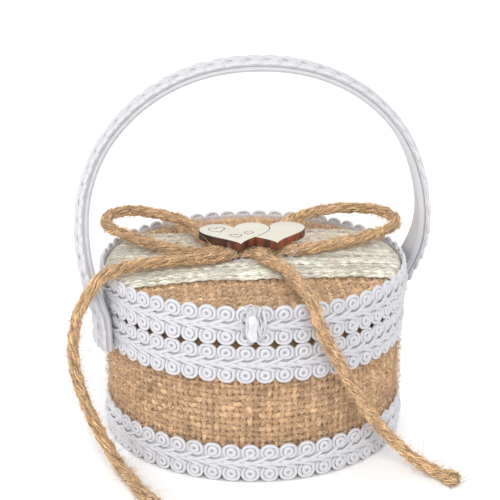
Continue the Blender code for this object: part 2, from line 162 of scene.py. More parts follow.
# The twine's centrelines, from the knot
TWINE_ROUTES = {
    "left_loop": (
        (-0.0092, 0.0006, 0.0635), (-0.0128, 0.0030, 0.0635), (-0.0156, 0.0080, 0.0635),
        (-0.0174, 0.0138, 0.0641), (-0.0194, 0.0190, 0.0652), (-0.0250, 0.0245, 0.0668),
        (-0.0315, 0.0280, 0.0677), (-0.0375, 0.0305, 0.0682), (-0.0430, 0.0312, 0.0682),
        (-0.0475, 0.0295, 0.0678), (-0.0500, 0.0255, 0.0670), (-0.0495, 0.0212, 0.0658),
        (-0.0462, 0.0175, 0.0649), (-0.0420, 0.0140, 0.0641), (-0.0375, 0.0095, 0.0637),
        (-0.0320, 0.0035, 0.0635), (-0.0265, -0.0012, 0.0635), (-0.0210, -0.0044, 0.0635),
        (-0.0150, -0.0052, 0.0635), (-0.0110, -0.0039, 0.0635), (-0.0084, -0.0035, 0.0635),
    ),
    "right_loop": (
        (0.0030, 0.0056, 0.0635), (0.0065, 0.0115, 0.0635), (0.0115, 0.0175, 0.0646),
        (0.0175, 0.0230, 0.0660), (0.0245, 0.0262, 0.0670), (0.0310, 0.0275, 0.0678),
        (0.0380, 0.0270, 0.0681), (0.0438, 0.0257, 0.0681), (0.0485, 0.0231, 0.0679),
        (0.0517, 0.0190, 0.0673), (0.0526, 0.0146, 0.0665), (0.0507, 0.0110, 0.0656),
        (0.0465, 0.0083, 0.0648), (0.0410, 0.0060, 0.0641), (0.0360, 0.0035, 0.0637),
        (0.0240, -0.0020, 0.0635), (0.0175, -0.0045, 0.0635), (0.0125, -0.0055, 0.0635),
        (0.0077, -0.0045, 0.0635),
    ),
    "left_tail": (
        (-0.0090, -0.0080, 0.0635), (-0.0112, -0.0090, 0.0635), (-0.0165, -0.0116, 0.0635),
        (-0.0245, -0.0122, 0.0635), (-0.0325, -0.0130, 0.0635), (-0.0390, -0.0150, 0.0635),
        (-0.0440, -0.0182, 0.0638), (-0.0485, -0.0220, 0.0638), (-0.0528, -0.0242, 0.0618),
        (-0.0562, -0.0250, 0.0575), (-0.0590, -0.0256, 0.0530), (-0.0608, -0.0263, 0.0480),
        (-0.0620, -0.0272, 0.0400), (-0.0613, -0.0283, 0.0310), (-0.0588, -0.0297, 0.0215),
        (-0.0545, -0.0325, 0.0120), (-0.0500, -0.0370, 0.0048), (-0.0468, -0.0430, 0.0023),
        (-0.0442, -0.0502, 0.0022), (-0.0412, -0.0585, 0.0022), (-0.0378, -0.0670, 0.0022),
    ),
    "right_tail": (
        (0.0015, -0.0107, 0.0635), (0.0023, -0.0128, 0.0635), (0.0060, -0.0200, 0.0635),
        (0.0085, -0.0275, 0.0635), (0.0098, -0.0360, 0.0635), (0.0108, -0.0440, 0.0639),
        (0.0118, -0.0510, 0.0641), (0.0128, -0.0560, 0.0625), (0.0138, -0.0582, 0.0585),
        (0.0157, -0.0575, 0.0535), (0.0198, -0.0545, 0.0452), (0.0240, -0.0525, 0.0370),
        (0.0288, -0.0508, 0.0285), (0.0345, -0.0482, 0.0190), (0.0415, -0.0470, 0.0105),
        (0.0485, -0.0490, 0.0042), (0.0545, -0.0545, 0.0023), (0.0592, -0.0605, 0.0022),
    ),
}
TWINE_ENDS = {
    "left_loop": "object", "right_loop": "object", "left_tail": "bare", "right_tail": "bare",
}


# ---------------------------------------------------------------- settings a user may change


class ClothSettings(bpy.types.PropertyGroup):
    """The burlap's weave and colours."""

    yarn_pitch: FloatProperty(
        name="Yarn pitch", description="From one yarn to the next", default=0.0021,
        subtype="DISTANCE", unit="LENGTH",
    )
    row_pitch: FloatProperty(
        name="Row pitch", description="From one row of the top's weave to the next",
        default=0.0019, subtype="DISTANCE", unit="LENGTH",
    )
    yarn_width: FloatProperty(
        name="Yarn width", description="A yarn's width, as it lies flat in the weave",
        default=0.00165, subtype="DISTANCE", unit="LENGTH",
    )
    yarn_thickness: FloatProperty(
        name="Yarn thickness", description="A yarn's thickness", default=0.00085,
        subtype="DISTANCE", unit="LENGTH",
    )
    yarn_rise: FloatProperty(
        name="Yarn rise", description="How far a yarn rises and dips at the crossings",
        default=0.00038, subtype="DISTANCE", unit="LENGTH",
    )
    natural: FloatVectorProperty(
        name="Natural", description="The natural burlap's colour", subtype="COLOR",
        default=(0.545, 0.357, 0.208), min=0, max=1,
    )
    cream: FloatVectorProperty(
        name="Cream", description="The cream ribbon's colour", subtype="COLOR",
        default=(0.645, 0.625, 0.556), min=0, max=1,
    )


class BraidSettings(bpy.types.PropertyGroup):
    """The white gimp braid."""

    repeats: IntProperty(
        name="Scallops", description="Scallops round one ring", default=54, min=12,
    )
    width: FloatProperty(
        name="Width", description="The braid's width over its scallops", default=0.0132,
        subtype="DISTANCE", unit="LENGTH",
    )
    cord: FloatProperty(
        name="Cord", description="Thickness of the braid's cord", default=0.00124,
        subtype="DISTANCE", unit="LENGTH",
    )
    white: FloatVectorProperty(
        name="White", description="The braid's colour", subtype="COLOR",
        default=(0.610, 0.605, 0.635), min=0, max=1,
    )


class TwineSettings(bpy.types.PropertyGroup):
    """The jute twine of the bow."""

    diameter: FloatProperty(
        name="Diameter", description="The twine's thickness", default=0.0040,
        subtype="DISTANCE", unit="LENGTH",
    )
    ply_turn: FloatProperty(
        name="Ply turn", description="Length in which a ply goes once round the twine",
        default=0.0190, subtype="DISTANCE", unit="LENGTH",
    )
    jute: FloatVectorProperty(
        name="Jute", description="The twine's colour", subtype="COLOR",
        default=(0.605, 0.392, 0.220), min=0, max=1,
    )


class CharmSettings(bpy.types.PropertyGroup):
    """The double-heart wood charm."""

    line_width: FloatProperty(
        name="Line width", description="Width of the burnt lines", default=0.00032,
        subtype="DISTANCE", unit="LENGTH",
    )
    line_depth: FloatProperty(
        name="Line depth", description="Depth of the burnt lines", default=0.00014,
        subtype="DISTANCE", unit="LENGTH",
    )
    wood: FloatVectorProperty(
        name="Wood", description="The plywood's face", subtype="COLOR",
        default=(0.645, 0.615, 0.520), min=0, max=1,
    )


class StageSettings(bpy.types.PropertyGroup):
    """The camera, the floor and the studio light."""

    camera_place: FloatVectorProperty(
        name="Camera place", description="Where the camera stands", subtype="TRANSLATION",
        default=(-0.04866, -0.46296, 0.21751), unit="LENGTH",
    )
    camera_dip: FloatProperty(
        name="Camera dip", description="How far the camera looks down", subtype="ANGLE",
        default=0.322, unit="ROTATION",
    )
    camera_turn: FloatProperty(
        name="Camera turn", description="The camera's heading", subtype="ANGLE",
        default=math.radians(-6), unit="ROTATION",
    )
    lens: FloatProperty(
        name="Lens", description="Focal length on a 36 mm sensor, in millimetres",
        default=102.73, min=10,
    )
    floor_grey: FloatVectorProperty(
        name="Floor", description="The floor's colour", subtype="COLOR",
        default=(0.97, 0.97, 0.97), min=0, max=1,
    )


SETTINGS = {
    "cloth": ClothSettings, "braid": BraidSettings, "twine": TwineSettings,
    "charm": CharmSettings, "stage": StageSettings,
}


def settings(group):
    """The scene's values for one group of settings."""
    return getattr(bpy.context.scene, "pillow_" + group)


# ---------------------------------------------------------------- meshes from lines


def unit_vectors(vectors):
    lengths = np.linalg.norm(vectors, axis=-1, keepdims=True)
    return vectors / np.maximum(lengths, 1e-12)


def tangents_of(line):
    return unit_vectors(np.gradient(line, axis=0))


def lengths_along(line):
    """The length from the line's start to each of its points."""
    return np.concatenate([[0], np.cumsum(np.linalg.norm(np.diff(line, axis=0), axis=1))])


def sampled(at, along, rows):
    """The rows, which are known at lengths along a line, at other lengths along it."""
    return np.stack([np.interp(at, along, column) for column in rows.T], axis=1)


def everywhere(direction, places):
    """The same direction at every place."""
    return np.broadcast_to(np.array(direction, float), (len(places), 3))


def carried_frames(line, first=(0.0, 0.0, 1.0)):
    """Tangents and two directions across, carried along the line without needless turning."""
    tangents = tangents_of(line)
    normals = np.empty_like(line)
    normal = np.array(first, float)
    if abs(normal @ tangents[0]) > 0.9:
        normal = np.array((0.0, 1.0, 0.0))
    for i, tangent in enumerate(tangents):
        normal = normal - (normal @ tangent) * tangent
        normal = normal / max(np.linalg.norm(normal), 1e-12)
        normals[i] = normal
    return tangents, normals, np.cross(tangents, normals)


def smooth_line(route, step):
    """A smooth curve through the route's points, with points about step apart."""
    points = np.array(route, float)
    points = np.vstack([2 * points[0] - points[1], points, 2 * points[-1] - points[-2]])
    fine = []
    for p0, p1, p2, p3 in zip(points, points[1:], points[2:], points[3:]):
        for t in np.arange(12) / 12:
            fine.append(0.5 * (
                2 * p1 + (p2 - p0) * t + (2 * p0 - 5 * p1 + 4 * p2 - p3) * t**2
                + (3 * p1 - p0 - 3 * p2 + p3) * t**3
            ))
    fine = np.array([*fine, points[-2]])
    along = lengths_along(fine)
    steps = max(2, round(along[-1] / step))
    return sampled(np.linspace(0, along[-1], steps + 1), along, fine)


class Sweeper:
    """Gathers tubes swept along lines, and makes one mesh of them."""

    def __init__(self):
        self.points, self.faces = [], []
        self.fibre, self.tone = [], []
        self.count = 0

    def tube(self, line, radius, sides=6, tone=0.5, twist=900.0, up=(0, 0, 1)):
        """A tube along the line, whose fibres turn by twist radians in a metre."""
        _, normals, across = carried_frames(line, up)
        radius = np.broadcast_to(radius, len(line))
        turn = np.arange(sides) * math.tau / sides
        cos, sin = np.cos(turn)[None, :, None], np.sin(turn)[None, :, None]
        rings = line[:, None] + radius[:, None, None] * (
            cos * normals[:, None] + sin * across[:, None]
        )
        along = lengths_along(line)
        angle = turn[None, :] + twist * along[:, None]
        fibre = np.stack([
            np.cos(angle), np.sin(angle), np.broadcast_to(along[:, None] * 1000, angle.shape),
        ], axis=2)
        first = self.count
        n = len(line)
        i, k = np.meshgrid(np.arange(n - 1), np.arange(sides), indexing="ij")
        j = (k + 1) % sides
        quads = np.stack([
            first + i * sides + k, first + i * sides + j,
            first + (i + 1) * sides + j, first + (i + 1) * sides + k,
        ], axis=2).reshape(-1, 4)
        self.faces += quads.tolist()
        self.faces.append((first + np.arange(sides)[::-1]).tolist())
        self.faces.append((first + (n - 1) * sides + np.arange(sides)).tolist())
        self.points.append(rings.reshape(-1, 3))
        self.fibre.append(fibre.reshape(-1, 3))
        self.tone.append(np.full(n * sides, tone))
        self.count += n * sides

    def finish(self, name, material=None, toned=True):
        piece = plain_object(name, np.vstack(self.points), self.faces, material)
        give_attribute(piece, "fibre", np.vstack(self.fibre))
        if toned:
            give_attribute(piece, "tone", np.concatenate(self.tone))
        return piece


def give_attribute(piece, name, values):
    """A number or a direction for each point of the piece."""
    kind, field = ("FLOAT", "value") if values.ndim == 1 else ("FLOAT_VECTOR", "vector")
    attribute = piece.data.attributes.new(name, kind, "POINT")
    attribute.data.foreach_set(field, values.astype(np.float32).ravel())


def plain_object(name, points, faces, material=None, edges=()):
    """An object made of these points and faces, or of points and edges for a guide line."""
    mesh = bpy.data.meshes.new(name)
    mesh.from_pydata(np.asarray(points).tolist(), list(edges), list(faces))
    mesh.update()
    if faces:
        mesh.shade_smooth()
    piece = bpy.data.objects.new(name, mesh)
    bpy.context.scene.collection.objects.link(piece)
    if material:
        mesh.materials.append(material)
    return piece


def remove_object(piece):
    """Takes a helper object and its mesh out of the scene."""
    mesh = piece.data
    bpy.data.objects.remove(piece)
    bpy.data.meshes.remove(mesh)


def joined(name, pieces):
    """One piece made of several, which are removed."""
    with bpy.context.temp_override(
        active_object=pieces[0], object=pieces[0],
        selected_objects=pieces, selected_editable_objects=pieces,
    ):
        bpy.ops.object.join()
    pieces[0].name = name
    pieces[0].data.name = name
    return pieces[0]


def wavering(rng, count, along, longest):
    """Smooth random values, mostly from -1 to 1, along a length, a row for each of count strands."""
    values = np.zeros((count, len(along)))
    for term in range(4):
        wave = longest / (term + 1)
        phase = rng.uniform(0, math.tau, (count, 1))
        stretch = rng.uniform(0.8, 1.25, (count, 1))
        values += np.sin(along[None, :] / wave * math.tau * stretch + phase) / (term + 1)
    return values / 1.6


# ---------------------------------------------------------------- geometry node trees


def added_node(tree, kind, links=(), **settings_of_node):
    """A new node with these settings, and with its inputs linked or set."""
    node = tree.nodes.new(kind)
    for key, value in settings_of_node.items():
        setattr(node, key, value)
    for key, value in dict(links).items():
        if isinstance(value, bpy.types.NodeSocket):
            tree.links.new(value, node.inputs[key])
        else:
            node.inputs[key].default_value = value
    return node


class Tree:
    """A geometry node tree, built up a node at a time."""

    def __init__(self, name):
        self.group = bpy.data.node_groups.new(name, "GeometryNodeTree")
        self.sockets = {}
        for direction in ("INPUT", "OUTPUT"):
            self.group.interface.new_socket(
                "Geometry", in_out=direction, socket_type="NodeSocketGeometry"
            )
        self.entry = self.group.nodes.new("NodeGroupInput")
        self.exit = self.group.nodes.new("NodeGroupOutput")

    def input(self, name, kind, default=None):
        item = self.group.interface.new_socket(
            name, in_out="INPUT", socket_type="NodeSocket" + kind
        )
        if default is not None:
            item.default_value = default
        self.sockets[name] = item.identifier
        return self.entry.outputs[name]

    def node(self, kind, links=(), **settings_of_node):
        return added_node(self.group, kind, links, **settings_of_node)

    def math(self, operation, a, b=0.0):
        return self.node("ShaderNodeMath", {0: a, 1: b}, operation=operation).outputs[0]

    def vector(self, operation, a, b=(0, 0, 0)):
        return self.node(
            "ShaderNodeVectorMath", {0: a, 1: b}, operation=operation
        ).outputs["Vector"]

    def scaled(self, vector, scale):
        node = self.node("ShaderNodeVectorMath", {0: vector, "Scale": scale}, operation="SCALE")
        return node.outputs["Vector"]

    def noise(self, place, seed, scale):
        """Smooth noise, different for each seed."""
        return self.node("ShaderNodeTexNoise", {
            "Vector": place, "W": seed, "Scale": scale, "Detail": 1.0,
        }, noise_dimensions="4D")

    def random(self, low, high, seed):
        node = self.node("FunctionNodeRandomValue", {
            2: low, 3: high, "Seed": seed,
        }, data_type="FLOAT")
        return node.outputs[1]

    def rotated(self, rotation, **angles):
        """The rotation, turned further about its own axes."""
        euler = self.node("ShaderNodeCombineXYZ", angles)
        turn = self.node("FunctionNodeEulerToRotation", {0: euler.outputs[0]})
        node = self.node("FunctionNodeRotateRotation", {
            0: rotation, 1: turn.outputs[0],
        }, rotation_space="LOCAL")
        return node.outputs[0]

    def named(self, name, kind):
        node = self.node("GeometryNodeInputNamedAttribute", {"Name": name}, data_type=kind)
        return node.outputs["Attribute"]

    def stored(self, geometry, name, kind, value, domain="POINT"):
        node = self.node(
            "GeometryNodeStoreNamedAttribute",
            {"Geometry": geometry, "Name": name, "Value": value},
            data_type=kind, domain=domain,
        )
        return node.outputs["Geometry"]

    def finish(self, geometry):
        """Ends the tree in Realize Instances and Set Material."""
        real = self.node("GeometryNodeRealizeInstances", {"Geometry": geometry})
        smooth = self.node("GeometryNodeSetShadeSmooth", {"Geometry": real.outputs[0]})
        painted = self.node("GeometryNodeSetMaterial", {
            "Geometry": smooth.outputs[0], "Material": self.entry.outputs["Material"],
        })
        self.group.links.new(painted.outputs[0], self.exit.inputs["Geometry"])
        return self


def grown(name, base, tree, values):
    """A plain mesh grown from the base object by a tree, with these values for its inputs."""
    modifier = base.modifiers.new(tree.group.name, "NODES")
    modifier.node_group = tree.group
    for key, value in values.items():
        modifier[tree.sockets[key]] = value
    base.update_tag()
    bpy.context.view_layer.update()
    graph = bpy.context.evaluated_depsgraph_get()
    mesh = bpy.data.meshes.new_from_object(base.evaluated_get(graph))
    base.modifiers.remove(modifier)
    mesh.name = name
    if not mesh.polygons:
        raise RuntimeError(name + " has no faces")
    piece = bpy.data.objects.new(name, mesh)
    bpy.context.scene.collection.objects.link(piece)
    return piece


def weave_tree():
    """Yarns along guide lines, rising and dipping over each other."""
    tree = Tree("woven yarns")
    spacing = tree.input("Spacing", "Float", 0.0005)
    rise = tree.input("Rise", "Float", 0.0004)
    width = tree.input("Yarn width", "Float", 0.0016)
    thickness = tree.input("Yarn thickness", "Float", 0.0009)
    uneven = tree.input("Unevenness", "Float", 0.3)
    stray = tree.input("Stray", "Float", 0.0003)
    seed = tree.input("Seed", "Float", 1.0)
    tree.input("Material", "Material")
    curve = tree.node("GeometryNodeMeshToCurve", {"Mesh": tree.entry.outputs["Geometry"]})
    even = tree.node(
        "GeometryNodeResampleCurve", {"Curve": curve.outputs[0], "Length": spacing},
        mode="LENGTH",
    )
    out = tree.named("out", "FLOAT_VECTOR")
    lift = tree.math("COSINE", tree.math("MULTIPLY", tree.named("wave", "FLOAT"), math.pi))
    shaped = tree.math("MULTIPLY", lift, rise)
    place = tree.node("GeometryNodeInputPosition").outputs[0]
    wander = tree.noise(place, seed, 260.0)
    shift = tree.vector("SUBTRACT", wander.outputs["Color"], (0.5, 0.5, 0.5))
    offset = tree.vector("ADD", tree.scaled(out, shaped), tree.scaled(shift, stray))
    moved = tree.node("GeometryNodeSetPosition", {"Geometry": even.outputs[0], "Offset": offset})
    facing = tree.node(
        "GeometryNodeSetCurveNormal", {"Curve": moved.outputs[0], "Normal": out}, mode="FREE"
    )
    parameter = tree.node("GeometryNodeSplineParameter")
    marked = tree.stored(facing.outputs[0], "along", "FLOAT", parameter.outputs["Length"])
    lumps = tree.noise(place, tree.math("ADD", seed, 7.0), 420.0)
    swell = tree.math("MULTIPLY", tree.math("SUBTRACT", lumps.outputs["Fac"], 0.5), uneven)
    thick = tree.math("MULTIPLY", tree.named("thick", "FLOAT"), tree.math("ADD", swell, 1.0))
    circle = tree.node("GeometryNodeCurvePrimitiveCircle", {"Resolution": 6, "Radius": 0.5})
    size = tree.node("ShaderNodeCombineXYZ", {"X": thickness, "Y": width, "Z": 1.0})
    oval = tree.node(
        "GeometryNodeTransform", {"Geometry": circle.outputs[0], "Scale": size.outputs[0]}
    )
    around = tree.stored(
        oval.outputs[0], "around", "FLOAT",
        tree.node("GeometryNodeSplineParameter").outputs["Factor"],
    )
    yarn = tree.node("GeometryNodeCurveToMesh", {
        "Curve": marked, "Profile Curve": around, "Scale": thick, "Fill Caps": True,
    })
    angle = tree.math(
        "ADD", tree.math("MULTIPLY", tree.named("around", "FLOAT"), math.tau),
        tree.math("MULTIPLY", tree.named("along", "FLOAT"), 700.0),
    )
    fibre = tree.node("ShaderNodeCombineXYZ", {
        "X": tree.math("COSINE", angle), "Y": tree.math("SINE", angle),
        "Z": tree.math("MULTIPLY", tree.named("along", "FLOAT"), 1000.0),
    })
    return tree.finish(tree.stored(yarn.outputs[0], "fibre", "FLOAT_VECTOR", fibre.outputs[0]))


def braid_tree():
    """One pattern unit of braid, repeated and bent along a path."""
    tree = Tree("braid along a path")
    unit = tree.input("Unit", "Object")
    repeats = tree.input("Repeats", "Int", 54)
    pitch = tree.input("Pitch", "Float", 0.006)
    stretch = tree.input("Stretch", "Float", 1.0)
    uneven = tree.input("Unevenness", "Float", 0.0003)
    seed = tree.input("Seed", "Float", 1.0)
    tree.input("Material", "Material")
    path = tree.node("GeometryNodeMeshToCurve", {"Mesh": tree.entry.outputs["Geometry"]})
    step = tree.node("ShaderNodeCombineXYZ", {"X": pitch})
    row = tree.node("GeometryNodeMeshLine", {"Count": repeats, "Offset": step.outputs[0]})
    info = tree.node("GeometryNodeObjectInfo", {"Object": unit})
    copies = tree.node(
        "GeometryNodeInstanceOnPoints",
        {"Points": row.outputs[0], "Instance": info.outputs["Geometry"]},
    )
    real = tree.node("GeometryNodeRealizeInstances", {"Geometry": copies.outputs[0]})
    place = tree.node("GeometryNodeInputPosition").outputs[0]
    wander = tree.noise(place, seed, 330.0)
    shift = tree.scaled(
        tree.vector("SUBTRACT", wander.outputs["Color"], (0.5, 0.5, 0.5)), uneven
    )
    parts = tree.node("ShaderNodeSeparateXYZ", {"Vector": tree.vector("ADD", place, shift)})
    length = tree.math("MULTIPLY", parts.outputs["X"], stretch)
    samples = []
    for name in ("out", "across"):
        samples.append(tree.node("GeometryNodeSampleCurve", {
            "Curves": path.outputs[0], "Value": tree.named(name, "FLOAT_VECTOR"),
            "Length": length,
        }, mode="LENGTH", data_type="FLOAT_VECTOR"))
    raised = tree.scaled(samples[0].outputs["Value"], parts.outputs["Z"])
    aside = tree.scaled(samples[1].outputs["Value"], parts.outputs["Y"])
    target = tree.vector(
        "ADD", samples[0].outputs["Position"], tree.vector("ADD", raised, aside)
    )
    bent = tree.node("GeometryNodeSetPosition", {"Geometry": real.outputs[0], "Position": target})
    return tree.finish(bent.outputs[0])


def fuzz_tree():
    """Loose fibres standing off a surface."""
    tree = Tree("loose fibres")
    fibre = tree.input("Fibre", "Object")
    density = tree.input("Density", "Float", 200000.0)
    shortest = tree.input("Shortest", "Float", 0.5)
    longest = tree.input("Longest", "Float", 1.0)
    lean = tree.input("Lean", "Float", 1.1)
    seed = tree.input("Seed", "Int", 1)
    tree.input("Material", "Material")
    points = tree.node("GeometryNodeDistributePointsOnFaces", {
        "Mesh": tree.entry.outputs["Geometry"], "Density": density, "Seed": seed,
    })
    tilt = tree.node("FunctionNodeRandomValue", {
        0: (0.2, -0.2, 0.0), 1: (1.0, 0.2, math.tau), "Seed": tree.math("ADD", seed, 3.0),
    }, data_type="FLOAT_VECTOR")
    split = tree.node("ShaderNodeSeparateXYZ", {"Vector": tilt.outputs["Value"]})
    spun = tree.rotated(points.outputs["Rotation"], Z=split.outputs["Z"])
    tipped = tree.rotated(
        spun, X=tree.math("MULTIPLY", split.outputs["X"], lean), Y=split.outputs["Y"]
    )
    size = tree.random(shortest, longest, tree.math("ADD", seed, 5.0))
    info = tree.node("GeometryNodeObjectInfo", {"Object": fibre})
    hairs = tree.node("GeometryNodeInstanceOnPoints", {
        "Points": points.outputs["Points"], "Instance": info.outputs["Geometry"],
        "Rotation": tipped, "Scale": size,
    })
    shade_of_hair = tree.random(0.45, 1.0, tree.math("ADD", seed, 9.0))
    return tree.finish(tree.stored(hairs.outputs[0], "tone", "FLOAT", shade_of_hair, "INSTANCE"))


# ---------------------------------------------------------------- materials


class Finish:
    """A procedural material, built up a node at a time."""

    def __init__(self, name, roughness=0.8, **constants):
        self.material = bpy.data.materials.new(name)
        self.material.use_nodes = True
        self.links = self.material.node_tree.links
        self.shader = self.material.node_tree.nodes["Principled BSDF"]
        self.shader.inputs["Roughness"].default_value = roughness
        for key, value in constants.items():
            self.shader.inputs[key.replace("_", " ")].default_value = value

    def node(self, kind, links=(), **settings_of_node):
        return added_node(self.material.node_tree, kind, links, **settings_of_node)

    def attribute(self, name, output="Vector"):
        return self.node("ShaderNodeAttribute", attribute_name=name).outputs[output]

    def place(self):
        return self.node("ShaderNodeTexCoord").outputs["Object"]

    def stretched(self, vector, scale):
        return self.node("ShaderNodeMapping", {"Vector": vector, "Scale": scale}).outputs[0]

    def noise(self, vector, scale, detail=3.0, roughness=0.6):
        node = self.node("ShaderNodeTexNoise", {
            "Vector": vector, "Scale": scale, "Detail": detail, "Roughness": roughness,
        })
        return node.outputs["Fac"]

    def ramp(self, value, *stops):
        """Colours at places from 0 to 1."""
        ramp = self.node("ShaderNodeValToRGB", {"Fac": value})
        elements = ramp.color_ramp.elements
        while len(elements) < len(stops):
            elements.new(0.5)
        for element, (position, colour) in zip(elements, stops):
            element.position = position
            element.color = (*colour, 1.0)
        return ramp.outputs["Color"]

    def mixed(self, share, a, b, kind="MIX"):
        node = self.node("ShaderNodeMix", data_type="RGBA", blend_type=kind)
        for index, value in ((0, share), (6, a), (7, b)):
            if isinstance(value, bpy.types.NodeSocket):
                self.links.new(value, node.inputs[index])
            elif index == 0:
                node.inputs[index].default_value = value
            else:
                node.inputs[index].default_value = (*value, 1.0)
        return node.outputs[2]

    def colour(self, socket):
        self.links.new(socket, self.shader.inputs["Base Color"])

    def bump(self, height, strength, distance):
        bump = self.node("ShaderNodeBump", {
            "Height": height, "Strength": strength, "Distance": distance,
        })
        self.links.new(bump.outputs["Normal"], self.shader.inputs["Normal"])

    def roughness(self, value, low, high):
        spread = self.node("ShaderNodeMapRange", {
            "Value": value, "To Min": low, "To Max": high,
        })
        self.links.new(spread.outputs[0], self.shader.inputs["Roughness"])


def shade(colour, factor):
    """The colour made darker or lighter."""
    return tuple(min(1.0, part * factor) for part in colour)


def fibrous(name, colour, dark, light, coarse=1.0):
    """Jute or burlap yarn: fine fibres that run round and along it, in uneven colour."""
    finish = Finish(name, roughness=0.9, Sheen_Weight=0.25, Sheen_Roughness=0.6)
    fibre = finish.attribute("fibre")
    streaks = finish.noise(finish.stretched(fibre, (1.6, 1.6, 0.35 * coarse)), 2.2, 3.0, 0.65)
    fine = finish.noise(finish.stretched(fibre, (3.5, 3.5, 0.5 * coarse)), 3.2, 2.0, 0.6)
    patches = finish.noise(finish.place(), 95.0, 2.0)
    base = finish.ramp(
        streaks, (0.33, shade(colour, dark)), (0.50, colour), (0.67, shade(colour, light))
    )
    tint = finish.ramp(patches, (0.30, (0.86, 0.83, 0.79)), (0.70, (1.10, 1.09, 1.06)))
    strand = finish.ramp(
        finish.attribute("tone", "Fac"), (0.0, (0.52, 0.46, 0.40)), (0.5, (1.0, 1.0, 1.0)),
        (1.0, (1.78, 1.84, 1.84)),
    )
    tinted = finish.mixed(1.0, base, tint, "MULTIPLY")
    finish.colour(finish.mixed(1.0, tinted, strand, "MULTIPLY"))
    finish.bump(fine, 0.65, 0.00025)
    return finish.material


def braid_white(name, colour):
    """Soft shiny white cord, wound round its core."""
    finish = Finish(
        name, roughness=0.45, Sheen_Weight=0.15, Sheen_Roughness=0.4,
        Subsurface_Weight=0.12, Subsurface_Radius=(0.002, 0.002, 0.002),
        Subsurface_Scale=0.5,
    )
    fibre = finish.attribute("fibre")
    threads = finish.noise(finish.stretched(fibre, (2.2, 2.2, 0.8)), 2.6, 2.0)
    base = finish.ramp(
        threads, (0.25, shade(colour, 0.90)), (0.60, colour), (0.85, shade(colour, 1.05))
    )
    finish.colour(base)
    finish.bump(threads, 0.45, 0.00015)
    finish.roughness(threads, 0.38, 0.60)
    return finish.material


def ribbon_white(name, colour):
    """Fine ribbed white ribbon."""
    finish = Finish(name, roughness=0.5, Sheen_Weight=0.2, Sheen_Roughness=0.4)
    ribs = finish.node("ShaderNodeTexWave", {
        "Vector": finish.attribute("fibre"), "Scale": 0.9, "Distortion": 0.6,
        "Detail": 1.0,
    }, wave_type="BANDS", bands_direction="Z")
    clouds = finish.noise(finish.place(), 160.0)
    base = finish.ramp(clouds, (0.3, shade(colour, 0.95)), (0.7, colour))
    finish.colour(base)
    finish.bump(ribs.outputs["Fac"], 0.35, 0.0001)
    return finish.material


def plywood_face(name, colour):
    """Pale plywood, its grain along the charm."""
    finish = Finish(name, roughness=0.55)
    place = finish.place()
    grain = finish.noise(finish.stretched(place, (70.0, 900.0, 70.0)), 1.0, 4.0, 0.6)
    pores = finish.noise(finish.stretched(place, (500.0, 5200.0, 500.0)), 1.0, 2.0)
    base = finish.ramp(
        grain, (0.30, shade(colour, 0.90)), (0.55, colour), (0.80, shade(colour, 1.08))
    )
    specks = finish.ramp(pores, (0.28, (0.86, 0.82, 0.76)), (0.40, (1.0, 1.0, 1.0)))
    finish.colour(finish.mixed(1.0, base, specks, "MULTIPLY"))
    finish.bump(pores, 0.15, 0.0001)
    finish.roughness(grain, 0.48, 0.66)
    return finish.material


def burnt_wood(name, brown, black):
    """A cut edge, browned by the beam that cut it, with painted shade towards its left (-X) and
    painted light towards its right.
    """
    finish = Finish(name, roughness=0.7)
    place = finish.place()
    streaks = finish.noise(finish.stretched(place, (420.0, 420.0, 60.0)), 1.0, 3.0)
    plies = finish.noise(finish.stretched(place, (60.0, 60.0, 1500.0)), 1.0, 2.0)
    base = finish.ramp(streaks, (0.30, black), (0.68, brown))
    layers = finish.ramp(plies, (0.35, (0.75, 0.70, 0.66)), (0.62, (1.35, 1.25, 1.15)))
    # Painted shade: darker and bluer towards -X, where the left side lies in shade, and painted light
    # towards +X; this ramp stands for lighting, not burning
    along = finish.node("ShaderNodeSeparateXYZ", {"Vector": place}).outputs["X"]
    left_shade_span = finish.node("ShaderNodeMapRange", {
        "Value": along, "From Min": -0.0170, "From Max": 0.0020,
    })
    painted_left_shade = finish.ramp(
        left_shade_span.outputs[0], (0.0, (0.30, 0.34, 0.40)), (0.45, (0.62, 0.62, 0.64)),
        (1.0, (1.25, 1.15, 1.10)),
    )
    layered = finish.mixed(1.0, base, layers, "MULTIPLY")
    finish.colour(finish.mixed(1.0, layered, painted_left_shade, "MULTIPLY"))
    finish.bump(plies, 0.3, 0.0002)
    return finish.material


def set_glue(name):
    """Milky set glue."""
    finish = Finish(name, roughness=0.35, IOR=1.42, Transmission_Weight=0.15)
    clouds = finish.noise(finish.place(), 700.0)
    finish.colour(finish.ramp(clouds, (0.3, (0.66, 0.66, 0.69)), (0.7, (0.76, 0.76, 0.78))))
    finish.bump(clouds, 0.3, 0.0003)
    return finish.material


def plain_board(name, colour, spots):
    """Board or wadding inside the drum."""
    finish = Finish(name, roughness=0.92)
    pulp = finish.noise(finish.place(), spots, 4.0, 0.7)
    finish.colour(finish.ramp(pulp, (0.3, shade(colour, 0.82)), (0.7, shade(colour, 1.12))))
    finish.bump(pulp, 0.4, 0.0004)
    return finish.material


def floor_finish(colour):
    """The studio's pale floor."""
    finish = Finish("studio_floor", roughness=0.85)
    haze = finish.noise(finish.place(), 3.0)
    finish.colour(finish.ramp(haze, (0.0, shade(colour, 0.995)), (1.0, shade(colour, 1.005))))
    return finish.material


MATERIALS = {}


